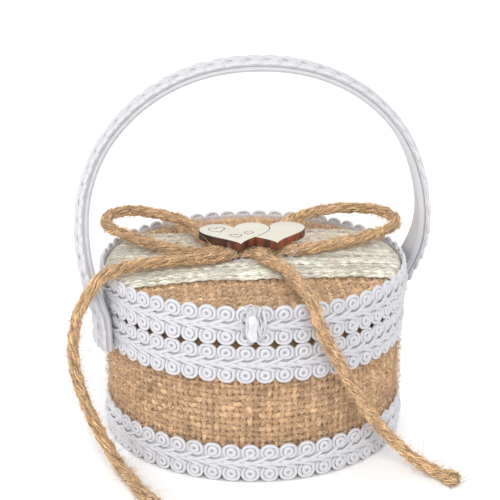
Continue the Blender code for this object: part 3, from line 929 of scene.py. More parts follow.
def finish_of(name):
    """The named material, made when it is first asked for."""
    if name not in MATERIALS:
        cloth, white = settings("cloth"), tuple(settings("braid").white)
        makers = {
            "natural_burlap": lambda: fibrous(name, tuple(cloth.natural), 0.34, 1.72),
            "cream_burlap": lambda: fibrous(name, tuple(cloth.cream), 0.74, 1.18),
            "jute_twine": lambda: fibrous(name, tuple(settings("twine").jute), 0.36, 1.80, 0.7),
            "white_gimp": lambda: braid_white(name, white),
            "white_ribbon": lambda: ribbon_white(name, shade(white, 0.98)),
            "plywood": lambda: plywood_face(name, tuple(settings("charm").wood)),
            "burnt_edge": lambda: burnt_wood(name, (0.20, 0.060, 0.022), (0.035, 0.013, 0.008)),
            "burnt_line": lambda: burnt_wood(name, (0.10, 0.055, 0.03), (0.05, 0.028, 0.018)),
            "hot_glue": lambda: set_glue(name),
            "paperboard": lambda: plain_board(name, (0.42, 0.34, 0.25), 900.0),
            "wadding": lambda: plain_board(name, (0.82, 0.82, 0.80), 500.0),
        }
        MATERIALS[name] = makers[name]()
    return MATERIALS[name]


def settle(piece, slot, *nodes):
    """The finished piece rides on the drum's body and stands for its nodes. Its slot is not used."""
    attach(piece, BODY)
    if nodes:
        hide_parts(*nodes)


def settle_cloth(slot, node, sheet, *loose):
    """A cloth's sheet stands for its node, and its yarns and hairs ride with it."""
    settle(sheet, slot, node)
    for piece in loose:
        settle(piece, slot)


# ---------------------------------------------------------------- the cloth's surfaces


def over_top(x, y, lift):
    """Places and outward directions on the crowned top, which turns down past its rim."""
    distance = np.hypot(x, y)
    away = np.maximum(distance, 1e-9)
    flat = TOP_RADIUS - RIM_ROUNDING
    past = np.clip(distance - flat, 0, None)
    turn = np.clip(past / RIM_ROUNDING, 0, math.pi / 2)
    down = np.clip(past - RIM_ROUNDING * math.pi / 2, 0, None)
    radius = np.minimum(distance, flat) + RIM_ROUNDING * np.sin(turn)
    height = (
        RIM_HEIGHT + TOP_CROWN * (1 - np.minimum(distance / flat, 1) ** 2)
        - RIM_ROUNDING * (1 - np.cos(turn)) - down
    )
    slope = np.where(past > 0, 0, 2 * TOP_CROWN * distance / flat**2)
    outwards = np.sin(turn) + slope
    out = np.stack([x / away * outwards, y / away * outwards, np.cos(turn)], axis=-1)
    out = unit_vectors(out)
    places = np.stack([x / away * radius, y / away * radius, height], axis=-1)
    return places + out * np.asarray(lift)[..., None], out


def round_wall(angle, height, radius):
    """Places and outward directions round the drum's axis."""
    out = np.stack([np.cos(angle), np.sin(angle), np.zeros_like(angle)], axis=-1)
    places = out * np.asarray(radius)[..., None]
    places[..., 2] = height
    return places, out


def level_ring(radius, height, count=ROUND_POINTS):
    """Places round the drum's axis, all at one height."""
    return round_wall(np.linspace(0, math.tau, count, endpoint=False), height, radius)[0]


def ring_over_top(radius, lift):
    """Places round the crowned top. The radius is measured over the top, from its middle."""
    turn = np.linspace(0, math.tau, ROUND_POINTS, endpoint=False)
    return over_top(radius * np.cos(turn), radius * np.sin(turn), lift)[0]


class Guides:
    """Guide lines for the weave: places, outward directions, and where each yarn rises."""

    def __init__(self, seed):
        self.rng = np.random.default_rng(seed)
        self.places, self.out, self.wave, self.thick = [], [], [], []
        self.tone = []
        self.edges, self.count = [], 0

    def yarn(self, places, out, wave):
        n = len(places)
        if n < 3:
            return
        along = np.linspace(0, n * GUIDE_STEP, n)
        size = self.rng.normal(1.0, 0.10)
        thick = size + 0.14 * wavering(self.rng, 1, along, 0.019)[0]
        self.places.append(places)
        self.out.append(out)
        self.wave.append(wave)
        self.thick.append(np.clip(thick, 0.55, 1.5))
        tone = self.rng.normal(0.5, 0.16) + 0.20 * wavering(self.rng, 1, along, 0.026)[0]
        self.tone.append(np.clip(tone, 0, 1))
        self.edges += [(self.count + i, self.count + i + 1) for i in range(n - 1)]
        self.count += n

    def finish(self, name):
        guide = plain_object(name, np.vstack(self.places), [], edges=self.edges)
        for attribute in ("out", "wave", "thick", "tone"):
            give_attribute(guide, attribute, np.concatenate(getattr(self, attribute)))
        return guide


def woven(
    name, guides, material, seed, spacing=0.00055, uneven=0.5, rise=1.0, width=1.0,
    thickness=1.0, stray=0.00045,
):
    """Yarns along the guides; rise, width and thickness are shares of the burlap's own."""
    cloth = settings("cloth")
    guide = guides.finish(name + "_guides")
    tree = shared_tree("weave")
    piece = grown(name, guide, tree, {
        "Spacing": spacing, "Rise": cloth.yarn_rise * rise,
        "Yarn width": cloth.yarn_width * width, "Yarn thickness": cloth.yarn_thickness * thickness,
        "Unevenness": uneven, "Stray": stray,
        "Seed": float(seed), "Material": finish_of(material),
    })
    remove_object(guide)
    return piece


TREES = {}


def shared_tree(name):
    """The named geometry node tree, made when it is first asked for."""
    if name not in TREES:
        TREES[name] = {"weave": weave_tree, "braid": braid_tree, "fuzz": fuzz_tree}[name]()
    return TREES[name]


def single_fibre(name, length, thickness, bend):
    """One curved loose fibre, standing on its foot."""
    t = np.linspace(0, 1, 5)
    line = np.stack([bend * length * t**2, 0.25 * bend * length * np.sin(3 * t), length * t], 1)
    line[0, 2] = -0.0002
    sweeper = Sweeper()
    sweeper.tube(line, thickness / 2 * (1 - 0.5 * t), sides=3, up=(0, 1, 0))
    return sweeper.finish(name, toned=False)


def fuzz_on(name, surface, material, seed, density, length, thickness, lean=1.3, bend=0.45):
    """Loose fibres all over a surface."""
    fibre = single_fibre(name + "_fibre", length, thickness, bend)
    piece = grown(name, surface, shared_tree("fuzz"), {
        "Fibre": fibre, "Density": density, "Shortest": 0.35, "Longest": 1.0,
        "Lean": lean, "Seed": seed, "Material": finish_of(material),
    })
    remove_object(fibre)
    return piece


def burlap_hairs(name, skin, seed, density):
    """The natural burlap's loose hairs, grown on a skin that is then removed."""
    hairs = fuzz_on(
        name, skin, "natural_burlap", seed, density, HAIR_LENGTH, BURLAP_HAIR_THICKNESS,
        BURLAP_HAIR_LEAN,
    )
    remove_object(skin)
    return hairs


def sheet_of_rings(name, rings, material, closed=True):
    """A sheet through rings of places, with the outside on the left of their order."""
    rings = np.array(rings)
    rows, n = rings.shape[:2]
    faces = []
    for i in range(rows - 1):
        for k in range(n if closed else n - 1):
            j = (k + 1) % n
            faces.append((i * n + k, i * n + j, (i + 1) * n + j, (i + 1) * n + k))
    return plain_object(name, rings.reshape(-1, 3), faces, material)


def thickened(piece):
    """The sheet with its thickness, all of it behind its face."""
    solid = piece.modifiers.new("thickness", "SOLIDIFY")
    solid.thickness = SHEET_THICKNESS
    solid.offset = -1.0
    graph = bpy.context.evaluated_depsgraph_get()
    mesh = bpy.data.meshes.new_from_object(piece.evaluated_get(graph))
    old = piece.data
    piece.modifiers.remove(solid)
    piece.data = mesh
    bpy.data.meshes.remove(old)
    return piece


# ---------------------------------------------------------------- operators


class PILLOW_OT_stage(bpy.types.Operator):
    """Sets up the camera, the pale floor and the soft studio light"""

    bl_idname = "pillow.stage"
    bl_label = "Stage"

    def execute(self, context):
        stage = settings("stage")
        scene = context.scene
        camera = bpy.data.objects.new("camera", bpy.data.cameras.new("camera"))
        scene.collection.objects.link(camera)
        camera.location = stage.camera_place
        camera.rotation_euler = (math.pi / 2 - stage.camera_dip, 0, stage.camera_turn)
        camera.data.lens = stage.lens
        camera.data.sensor_width = SENSOR_WIDTH
        camera.data.shift_x = CAMERA_SHIFT
        scene.camera = camera
        scene.view_settings.view_transform = "Standard"
        floor = plain_object(
            "floor", [(-9, -9, 0), (9, -9, 0), (9, 9, 0), (-9, 9, 0)], [(0, 1, 2, 3)],
            floor_finish(tuple(stage.floor_grey)),
        )
        world = bpy.data.worlds.new("studio")
        world.use_nodes = True
        backdrop = world.node_tree.nodes["Background"]
        backdrop.inputs["Color"].default_value = (1.0, 1.0, 1.0, 1.0)
        backdrop.inputs["Strength"].default_value = BACKDROP_STRENGTH
        scene.world = world
        aimed_at = Vector((0, 0, 0.05))
        for name, kind, place, softness, strength in (
            ("key_light", "SUN", (0.02, -0.80, 0.62), math.radians(28), 1.45),
            ("fill_light", "AREA", (-0.75, -0.45, 0.40), 0.60, 2.2),
            ("back_light", "AREA", (0.10, 0.70, 0.65), 0.60, 1.6),
        ):
            lamp = bpy.data.lights.new(name, kind)
            setattr(lamp, "angle" if kind == "SUN" else "size", softness)
            lamp.energy = strength
            holder = bpy.data.objects.new(name, lamp)
            holder.location = place
            aim = aimed_at - Vector(place)
            holder.rotation_euler = aim.to_track_quat("-Z", "Y").to_euler()
            scene.collection.objects.link(holder)
        return {"FINISHED"}


def laid_twine(sweeper, line, diameter, ply_turn, rng, frayed_end=False, strands=PLY_STRANDS):
    """Three plies laid round each other, each a bundle of loose strands round a core toned dark as
    painted shade between the strands.
    """
    _, normals, across = carried_frames(line)
    along = lengths_along(line)
    offset, ply_radius = diameter * 0.190, diameter * 0.300
    core_radius, strand_turn = ply_radius * 0.78, ply_turn * 0.62
    spread = np.ones(len(line))
    if frayed_end:
        spread += 0.55 * np.clip(1 - (along[-1] - along) / FRAYED_LENGTH, 0, 1) ** 2
    for ply in range(3):
        angle = ply * math.tau / 3 + along / ply_turn * math.tau
        angle = angle + 0.25 * wavering(rng, 1, along, 0.030)[0]
        push = offset * spread * (1 + 0.10 * wavering(rng, 1, along, 0.013)[0])
        centre = line + push[:, None] * (
            np.cos(angle)[:, None] * normals + np.sin(angle)[:, None] * across
        )
        # The core's low tone is painted shade: it darkens the gaps between the strands
        sweeper.tube(centre, core_radius, sides=6, tone=0.1)
        _, ply_normals, ply_across = carried_frames(centre)
        waver = wavering(rng, strands, along, 0.008)
        swell = wavering(rng, strands, along, 0.005)
        for strand in range(strands):
            turn = (
                strand * math.tau / strands - along / strand_turn * math.tau
                + 0.35 * waver[strand]
            )
            out = ply_radius * spread * (0.86 + 0.22 * swell[strand])
            strand_line = centre + out[:, None] * (
                np.cos(turn)[:, None] * ply_normals + np.sin(turn)[:, None] * ply_across
            )
            thick = ply_radius * (0.165 + 0.06 * waver[strand])
            tone = np.clip(rng.normal(0.58, 0.34), 0, 1)
            sweeper.tube(strand_line, thick, sides=4, tone=tone, twist=1500.0)


def keep_above_floor(piece):
    """Lays on the floor what would reach through it."""
    places = np.empty(len(piece.data.vertices) * 3, np.float32)
    piece.data.vertices.foreach_get("co", places)
    places[2::3] = np.maximum(places[2::3], FLOOR_CLEARANCE)
    piece.data.vertices.foreach_set("co", places)
    piece.data.update()


def tucked_in(route, bare):
    """The route, drawn a little further into the knot at the ends that it ties."""
    middle = (KNOT_LOW + KNOT_HIGH) / 2
    ends = [0] if bare else [0, -1]
    longer = list(route)
    for end in ends:
        place = Vector(route[end])
        inwards = (middle - place).normalized() * TUCKED_IN
        inwards.z = 0
        longer.insert(0 if end == 0 else len(longer), tuple(place + inwards))
    return longer


class PILLOW_OT_twine(bpy.types.Operator):
    """Lays the bow's two loops and two tails of jute twine, with their loose fibres"""

    bl_idname = "pillow.twine"
    bl_label = "Twine loops and tails"

    def execute(self, context):
        twine = settings("twine")
        for index, (name, route) in enumerate(TWINE_ROUTES.items()):
            rng = np.random.default_rng(40 + index)
            line = smooth_line(route, TWINE_STEP)
            bare = TWINE_ENDS[name] == "bare"
            sweeper = Sweeper()
            laid_twine(
                sweeper, smooth_line(tucked_in(route, bare), TWINE_STEP), twine.diameter,
                twine.ply_turn, rng, frayed_end=bare,
            )
            piece = sweeper.finish("twine_" + name, finish_of("jute_twine"))
            keep_above_floor(piece)
            short = fuzz_on(
                "fibres_" + name, piece, "jute_twine", 7 + index, TWINE_HAIRS, HAIR_LENGTH,
                TWINE_HAIR_THICKNESS, TWINE_HAIR_LEAN,
            )
            long = fuzz_on(
                "long_fibres_" + name, piece, "jute_twine", 17 + index, TWINE_LONG_HAIRS,
                LONG_HAIR_LENGTH, LONG_HAIR_THICKNESS, bend=0.7,
            )
            hairs = joined(short.name, [short, long])
            keep_above_floor(hairs)
            settle(piece, "jute_twine", name)
            settle(hairs, "jute_twine")
        return {"FINISHED"}


class PILLOW_OT_knot(bpy.types.Operator):
    """Ties the bow's knot, which lies under the charm"""

    bl_idname = "pillow.knot"
    bl_label = "Bow knot"

    def execute(self, context):
        twine = settings("twine")
        centre = (KNOT_LOW + KNOT_HIGH) / 2
        reach = (KNOT_HIGH - KNOT_LOW) / 2
        reach.x += 0.0016
        rng = np.random.default_rng(60)
        sweeper = Sweeper()
        thick = twine.diameter * 0.72
        rise = reach.z - thick * 0.5
        routes = [
            [(
                centre.x + reach.x * 0.80 * t,
                centre.y + reach.y * (across + 0.22 * math.sin(2.2 * t + 3 * across)),
                centre.z + rise * (0.6 * math.cos(2.6 * t + 4 * across)),
            ) for t in np.linspace(-1.0, 1.0, 9)]
            for across in (-0.45, 0.0, 0.45)
        ]
        # One turn round the other three
        routes.append([(
            centre.x + reach.x * 0.30 * math.cos(a) + 0.0004,
            centre.y - reach.y * 0.72 * math.cos(a) * 0.35 + reach.y * 0.62 * math.sin(a),
            centre.z + rise * math.cos(a + 0.4),
        ) for a in np.linspace(0, 1.0, 13) * math.tau * 0.96])
        for route in routes:
            laid_twine(
                sweeper, smooth_line(route, TWINE_STEP), thick, twine.ply_turn * 0.8, rng,
                strands=7,
            )
        settle(sweeper.finish("tied_knot", finish_of("jute_twine")), "jute_twine", "bow_knot")
        return {"FINISHED"}


class PILLOW_OT_wall_cloth(bpy.types.Operator):
    """Wraps the drum's wall in natural burlap"""

    bl_idname = "pillow.wall_cloth"
    bl_label = "Wall burlap"

    def execute(self, context):
        cloth = settings("cloth")
        middle = WALL_RADIUS - CLOTH_THICKNESS / 2
        # The yarns run a little way under the braid rings, where the thin sheet goes on alone
        covered = 0.0030
        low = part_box("lower_gimp_band")[1].z - covered
        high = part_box("middle_gimp_band")[0].z + covered
        guides = Guides(11)
        count = 2 * round(math.pi * middle / cloth.yarn_pitch)
        pitch = cloth.yarn_pitch
        rows = int((high - low) / pitch)
        for i in range(count):
            height = np.arange(low, high, GUIDE_STEP)
            angle = math.tau * i / count + 0.0045 * wavering(guides.rng, 1, height, 0.03)[0]
            places, out = round_wall(angle, height, middle)
            guides.yarn(places, out, (height - low) / pitch + i + 1)
        angle = np.linspace(0, math.tau, 1201)
        for j in range(rows + 1):
            drift = 0.00022 * np.sin(angle * 3 + j) + 0.00022 * np.sin(angle * 17 + 2 * j)
            height = low + pitch * j + drift
            places, out = round_wall(angle, height, middle)
            guides.yarn(places, out, angle / math.tau * count + j)
        yarns = woven("wall_yarns", guides, "natural_burlap", 3, uneven=0.8, stray=0.0008)
        inner = WALL_RADIUS - CLOTH_THICKNESS + 0.0003
        rings = [level_ring(inner, z) for z in (WALL_FOOT, low, high, WALL_TOP)]
        sheet = thickened(sheet_of_rings("wall_burlap", rings, finish_of("natural_burlap")))
        skin = sheet_of_rings("wall_skin", [
            level_ring(WALL_RADIUS + 0.0002, z) for z in (low + 0.002, high - 0.002)
        ], None)
        fuzz = burlap_hairs("wall_fuzz", skin, 21, WALL_HAIRS)
        settle_cloth("natural_burlap", "wall_cover", sheet, yarns, fuzz)
        return {"FINISHED"}


def ribbon_edges(x):
    """The cream ribbon's front and back edges at x."""
    left = np.clip((-x - 0.030) / 0.018, 0, 1) ** 2
    flare = np.clip((-x - 0.020) / 0.024, 0, 1.2) ** 1.6
    ripple = 0.0004 * np.sin(x * 230) + 0.0002 * np.sin(x * 610 + 1)
    front = -0.0242 - 0.0030 * left + ripple
    back = 0.0258 + 0.0062 * flare + 0.0003 * np.sin(x * 190 + 2)
    return front, back


def top_lift(x, y):
    """The soft top's slight hollows."""
    return 0.00018 * np.sin(x * 150 + 1) * np.sin(y * 130 + 2)


class PILLOW_OT_top_cloth(bpy.types.Operator):
    """Stretches natural burlap over the padded top"""

    bl_idname = "pillow.top_cloth"
    bl_label = "Top burlap"

    def execute(self, context):
        cloth = settings("cloth")
        guides = Guides(12)
        edge = TOP_RADIUS + 0.0016
        pitch, row = cloth.yarn_pitch, cloth.row_pitch
        lift = -CLOTH_THICKNESS / 2
        # Nearer to the middle than this the cream ribbon hides the yarns
        hidden = 0.0205
        for j in range(-27, 28):
            y = j * row
            if abs(y) < hidden or abs(y) > edge - 0.001:
                continue
            half = math.sqrt(edge**2 - y**2)
            x = np.arange(-half, half, GUIDE_STEP)
            drift = y + 0.00025 * np.sin(x * 120 + j) + 0.00012 * np.sin(x * 310 + 3 * j)
            places, out = over_top(x, drift, lift + top_lift(x, drift))
            guides.yarn(places, out, x / pitch + j)
        for i in range(-24, 25):
            x = i * pitch
            if abs(x) > edge - 0.002:
                continue
            half = math.sqrt(edge**2 - x**2)
            for side in (-1, 1):
                y = np.arange(hidden, half, GUIDE_STEP)
                if len(y) < 4:
                    continue
                y = side * y
                drift = x + 0.0002 * np.sin(y * 140 + i)
                places, out = over_top(drift, y, lift + top_lift(drift, y))
                guides.yarn(places, out, y / row + i + 1)
        yarns = woven("top_yarns", guides, "natural_burlap", 5, uneven=0.8, stray=0.0008)
        skirt = RIM_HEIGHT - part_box("top_cover")[0].z
        radii = [0.0001, 0.012, 0.024, 0.036, 0.046, *(
            TOP_RADIUS - RIM_ROUNDING + RIM_ROUNDING * a for a in (0.0, 0.4, 0.8, 1.2, math.pi / 2)
        ), TOP_RADIUS + skirt - RIM_ROUNDING]
        rings = [ring_over_top(r, -0.0006) for r in radii[::-1]]
        rings[-1][:] = rings[-1].mean(axis=0)
        sheet = sheet_of_rings("top_burlap", rings, finish_of("natural_burlap"))
        closed_pole(sheet)
        sheet = thickened(sheet)
        skin = sheet_of_rings("top_skin", [
            ring_over_top(r, 0.0002) for r in (TOP_RADIUS, 0.040, 0.030, 0.0255)
        ], None)
        fuzz = burlap_hairs("top_fuzz", skin, 22, TOP_HAIRS)
        settle_cloth("natural_burlap", "top_cover", sheet, yarns, fuzz)
        return {"FINISHED"}


def closed_pole(piece):
    """Merges the points that meet at the middle of a turned sheet."""
    bm = bmesh.new()
    bm.from_mesh(piece.data)
    bmesh.ops.remove_doubles(bm, verts=bm.verts, dist=1e-7)
    bm.to_mesh(piece.data)
    bm.free()
    piece.data.update()


class PILLOW_OT_cream_ribbon(bpy.types.Operator):
    """Lays the cream burlap ribbon across the top"""

    bl_idname = "pillow.cream_ribbon"
    bl_label = "Cream ribbon"

    def execute(self, context):
        cloth = settings("cloth")
        guides = Guides(13)
        pitch, rows = cloth.yarn_pitch, RIBBON_ROWS
        lift = RIBBON_GAP + RIBBON_THICKNESS / 2 + SHEET_THICKNESS
        end = TOP_RADIUS + 0.0020
        tucked = end + 0.003
        x = np.arange(-end, end, GUIDE_STEP)
        front, back = ribbon_edges(x)
        for j in range(rows + 1):
            share = j / rows
            y = front + (back - front) * share + 0.0001 * np.sin(x * 300 + 2 * j)
            inside = np.hypot(x, y) < end
            places, out = over_top(x[inside], y[inside], lift + top_lift(x, y)[inside])
            guides.yarn(places, out, x[inside] / pitch + j)
        for i in range(-24, 25):
            share = np.linspace(0, 1, 101)
            along = i * pitch + 0.0002 * np.sin(share * 9 + i)
            edges = ribbon_edges(along)
            y = edges[0] + (edges[1] - edges[0]) * share
            inside = np.hypot(along, y) < end
            along, y, share = along[inside], y[inside], share[inside]
            if len(y) < 4:
                continue
            places, out = over_top(along, y, lift - 0.00022 + top_lift(along, y))
            guides.yarn(places, out, share * rows + i + 1)
        yarns = woven(
            "ribbon_yarns", guides, "cream_burlap", 8, spacing=0.0007, uneven=0.4, rise=0.55,
            width=0.80, thickness=0.80, stray=0.0003,
        )
        columns = np.linspace(-tucked, tucked, 109)
        front, back = ribbon_edges(columns)
        rings = [
            over_top(columns, front + (back - front) * share, 0.0004)[0]
            for share in np.linspace(0, 1, 15)
        ]
        sheet = thickened(
            sheet_of_rings("cream_burlap_ribbon", rings, finish_of("cream_burlap"), False)
        )
        seen = slice(8, -8)
        skin = sheet_of_rings("ribbon_skin", [
            over_top(columns[seen], front[seen] + (back - front)[seen] * share, 0.0012)[0]
            for share in (0.02, 0.25, 0.5, 0.75, 0.98)
        ], None, False)
        fuzz = fuzz_on("ribbon_fuzz", skin, "cream_burlap", 23, RIBBON_HAIRS, 0.0016, 0.00011)
        remove_object(skin)
        settle_cloth("cream_burlap", "cream_ribbon", sheet, yarns, fuzz)
        return {"FINISHED"}


class PILLOW_OT_base_cloth(bpy.types.Operator):
    """Covers the underside with natural burlap"""

    bl_idname = "pillow.base_cloth"
    bl_label = "Base burlap"

    def execute(self, context):
        cloth = settings("cloth")
        guides = Guides(14)
        pitch = cloth.yarn_pitch * 1.15
        height = BASE_TOP / 2 + 0.0001
        edge = BASE_RADIUS - 0.0006
        for direction in (0, 1):
            for j in range(-24, 25):
                offset = j * pitch
                if abs(offset) > edge - 0.002:
                    continue
                half = math.sqrt(edge**2 - offset**2)
                run = np.arange(-half, half, GUIDE_STEP)
                level = np.full(len(run), height)
                across = np.full(len(run), offset)
                pair = (run, across, level) if direction == 0 else (across, run, level)
                places = np.stack(pair, axis=1)
                down = everywhere((0, 0, -1), places)
                guides.yarn(places, down, run / pitch + j + direction)
        yarns = woven(
            "base_yarns", guides, "natural_burlap", 9, spacing=0.0009, uneven=0.4, rise=0.37,
            width=1.1, thickness=0.47, stray=0.0003,
        )
        rings = [
            level_ring(r, BASE_TOP - 0.00005, DISC_POINTS)
            for r in (BASE_RADIUS - 0.0002, 0.030, 0.0)
        ]
        sheet = sheet_of_rings("base_burlap", rings, finish_of("natural_burlap"))
        closed_pole(sheet)
        sheet = thickened(sheet)
        settle_cloth("natural_burlap", "base_cover", sheet, yarns)
        return {"FINISHED"}


def braid_unit(name, pitch, width, cord):
    """One repeat of the gimp: a curled scallop on each edge, and its two strokes of the plait."""
    sweeper = Sweeper()
    radius = cord / 2
    wide, tall, curl = pitch / 2 - radius * 0.95, 0.00222, 0.00108
    centre = width / 2 - tall - radius
    for side in (1, -1):
        turn = np.linspace(0, 1, 44)
        angle = math.radians(236) - turn * math.radians(725)
        ease = np.clip((turn - 0.36) / 0.20, 0, 1)
        ease = ease * ease * (3 - 2 * ease)
        square = 2.35 - 0.35 * ease
        boxed = (np.abs(np.cos(angle)) ** square + np.abs(np.sin(angle)) ** square) ** (
            -1 / square
        )
        line = np.stack([
            pitch / 2 + (wide + (curl - wide) * ease) * boxed * np.cos(angle),
            side * (centre + (tall + (curl - tall) * ease) * boxed * np.sin(angle)),
            0.00072 + 0.00018 * ease - 0.0002 * np.clip(1 - turn * 8, 0, 1),
        ], axis=1)
        sweeper.tube(line, radius * (1.0 + 0.13 * ease), sides=6, tone=0.5)
    for side, start in ((-1, 0.0), (1, 0.5 * pitch)):
        run = np.linspace(0, 1, 15)
        swing = -0.00045 - 0.0004 * np.sin(math.pi * run) + 0.00290 * run**1.5
        line = np.stack([
            start + 2.05 * pitch * run, side * swing,
            0.00082 + 0.00070 * np.sin(math.pi * np.clip(run * 1.08, 0, 1)) ** 0.8,
        ], axis=1)
        sweeper.tube(
            line, radius * (1.0 - 0.40 * np.clip((run - 0.85) * 6, 0, 1) ** 2), sides=6,
            tone=0.6,
        )
    return sweeper.finish(name)


def path_object(name, line, out, across):
    """A path with the directions out of it and across it."""
    edges = [(i, i + 1) for i in range(len(line) - 1)]
    path = plain_object(name, line, [], edges=edges)
    give_attribute(path, "out", out)
    give_attribute(path, "across", across)
    return path


def flat_strip(name, line, out, across, width, back, thickness, material, closed=False):
    """A flat strip with rounded edges along a path."""
    round_by = thickness * 0.45
    half = width / 2
    section = [
        (-half, back + round_by), (-half + round_by, back), (half - round_by, back),
        (half, back + round_by), (half, back + thickness - round_by),
        (half - round_by, back + thickness), (-half + round_by, back + thickness),
        (-half, back + thickness - round_by),
    ]
    rings = np.array([
        [place + a * y + o * z for y, z in section]
        for place, o, a in zip(line, out, across)
    ])
    n, k = rings.shape[:2]
    faces = []
    for i in range(n if closed else n - 1):
        following = (i + 1) % n
        for j in range(k):
            faces.append((
                i * k + j, i * k + (j + 1) % k, following * k + (j + 1) % k, following * k + j,
            ))
    faces = [face[::-1] for face in faces]
    if not closed:
        faces.append(tuple(range(k)))
        faces.append(tuple((n - 1) * k + j for j in range(k))[::-1])
    piece = plain_object(name, rings.reshape(-1, 3), faces, material)
    piece.data.set_sharp_from_angle(angle=math.radians(40))
    along = lengths_along(line)
    fibre = np.stack([
        np.tile([y * 1000 for y, z in section], n), np.zeros(n * k), np.repeat(along * 1000, k),
    ], axis=1)
    give_attribute(piece, "fibre", fibre)
    give_attribute(piece, "tone", np.full(n * k, 0.3))
    return piece


def braid(
    name, line, out, across, repeats, stretch, seed, core_line, closed, uneven=0.00042,
    core_width=0.0098, core_back=0.00005, core_face=0.0006,
):
    """A length of gimp braid along a path, on its flat core."""
    gimp = settings("braid")
    unit = braid_unit(name + "_unit", BRAID_PITCH, gimp.width, gimp.cord)
    path = path_object(name + "_path", line, out, across)
    woven_part = grown(name + "_cords", path, shared_tree("braid"), {
        "Unit": unit, "Repeats": repeats, "Pitch": BRAID_PITCH, "Stretch": stretch,
        "Unevenness": uneven, "Seed": float(seed), "Material": finish_of("white_gimp"),
    })
    remove_object(unit)
    remove_object(path)
    core = flat_strip(
        name + "_core", *core_line, core_width, core_back, core_face - core_back,
        finish_of("white_gimp"), closed,
    )
    return joined(name, [woven_part, core])


class PILLOW_OT_braid_rings(bpy.types.Operator):
    """Glues three rings of white gimp braid round the drum"""

    bl_idname = "pillow.braid_rings"
    bl_label = "Braid rings"

    def execute(self, context):
        gimp = settings("braid")
        for index, (node, start, repeats) in enumerate((
            ("upper_gimp_band", FRONT_JOINT + 0.012, gimp.repeats),
            ("middle_gimp_band", BACK_JOINT + 0.394, gimp.repeats - 2),
            ("lower_gimp_band", BACK_JOINT + 0.785, gimp.repeats - 2),
        )):
            low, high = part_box(node)
            back = reach_of(node) - BRAID_THICKNESS
            middle = (low.z + high.z) / 2
            # The path runs on past one turn, because the last unit's strokes reach past it
            angle = start + np.linspace(0, math.tau + 0.6, 640)
            places, out = round_wall(angle, middle, back)
            turn = np.linspace(0, math.tau, 240, endpoint=False)
            core, core_out = round_wall(turn, middle, back)
            stretch = math.tau * back / (repeats * BRAID_PITCH)
            up = (0, 0, 1)
            ring = braid(
                "braid_" + node.replace("_gimp_band", ""), places, out, everywhere(up, places),
                repeats, stretch, 2 + index, (core, core_out, everywhere(up, core)), True,
            )
            settle(ring, "white_gimp", node)
        return {"FINISHED"}


def eased(t):
    """From 0 to 1 with a soft start and end."""
    t = min(max(t, 0.0), 1.0)
    return t * t * (3 - 2 * t)


def handle_line(step=0.0012):
    """Places on the handle's outer face, and the directions out of it and across it."""
    half = []
    for height in np.linspace(HANDLE_FOOT, HANDLE_LEAVES, 8, endpoint=False):
        half.append((HANDLE_SEAT, height))
    for t in np.linspace(0, 1, 14, endpoint=False):
        rise = HANDLE_ARCH_HEIGHT - HANDLE_LEAVES
        half.append((HANDLE_SEAT + HANDLE_FLARE * (1 - (1 - t) ** 2), HANDLE_LEAVES + rise * t))
    for angle in np.linspace(0, math.pi / 2, 36):
        across = max(math.cos(angle), 0.0) ** (2 / HANDLE_SQUARENESS)
        up = math.sin(angle) ** (2 / HANDLE_SQUARENESS)
        half.append((HANDLE_REACH * across, HANDLE_ARCH_HEIGHT + HANDLE_ARCH_RISE * up))
    places, sides = [], []
    for side, end_turn, turn_rise in (
        (-1, LEFT_END_TURN, LEFT_TURN_RISE), (1, RIGHT_END_TURN, RIGHT_TURN_RISE),
    ):
        rows, across = [], []
        for reach, height in half:
            turn = end_turn + (HANDLE_TOP_TURN - end_turn) * eased(
                (height - HANDLE_FOOT) / turn_rise
            )
            lean = HANDLE_LEAN * eased((height - HANDLE_ARCH_HEIGHT) / HANDLE_ARCH_RISE)
            rows.append((
                side * reach * math.cos(turn) + lean, side * reach * math.sin(turn), height
            ))
            across.append((-math.sin(turn), math.cos(turn), 0.0))
        places += rows if side < 0 else rows[-2::-1]
        sides += across if side < 0 else across[-2::-1]
    places, sides = np.array(places), np.array(sides)
    along = lengths_along(places)
    at = np.linspace(0, along[-1], round(along[-1] / step) + 1)
    line = sampled(at, along, places)
    side = unit_vectors(sampled(at, along, sides))
    tangents = tangents_of(line)
    out = unit_vectors(np.cross(tangents, side))
    return line, out, np.cross(out, tangents)


class PILLOW_OT_handle(bpy.types.Operator):
    """Bends the hoop handle: braid on the outside and a smooth ribbon strip inside"""

    bl_idname = "pillow.handle"
    bl_label = "Handle"

    def execute(self, context):
        line, out, across = handle_line()
        back = line - out * (HANDLE_GIMP_THICKNESS - HANDLE_CORE_DEPTH)
        length = float(lengths_along(back)[-1])
        # The last unit's strokes reach past it, so the units end short of the path's end
        repeats = int((length - 0.0080) / BRAID_PITCH)
        stretch = (length - 0.0075) / (repeats * BRAID_PITCH)
        gimp = braid(
            "handle_braid", back, out, across, repeats, stretch, 6, (back, out, across), False,
            uneven=0.0006, core_width=0.0120, core_back=-HANDLE_CORE_DEPTH, core_face=0.00105,
        )
        settle(gimp, "white_gimp", "handle_gimp")
        depth = (
            HANDLE_GIMP_THICKNESS + HANDLE_LAYER_GAP + HANDLE_STRIP_THICKNESS + STRIP_FULLNESS
        )
        strip = flat_strip(
            "handle_ribbon", line, out, across, HANDLE_STRIP_WIDTH + 0.001, -depth,
            depth - HANDLE_GIMP_THICKNESS, finish_of("white_ribbon"),
        )
        settle(strip, "white_ribbon", "handle_strip")
        return {"FINISHED"}


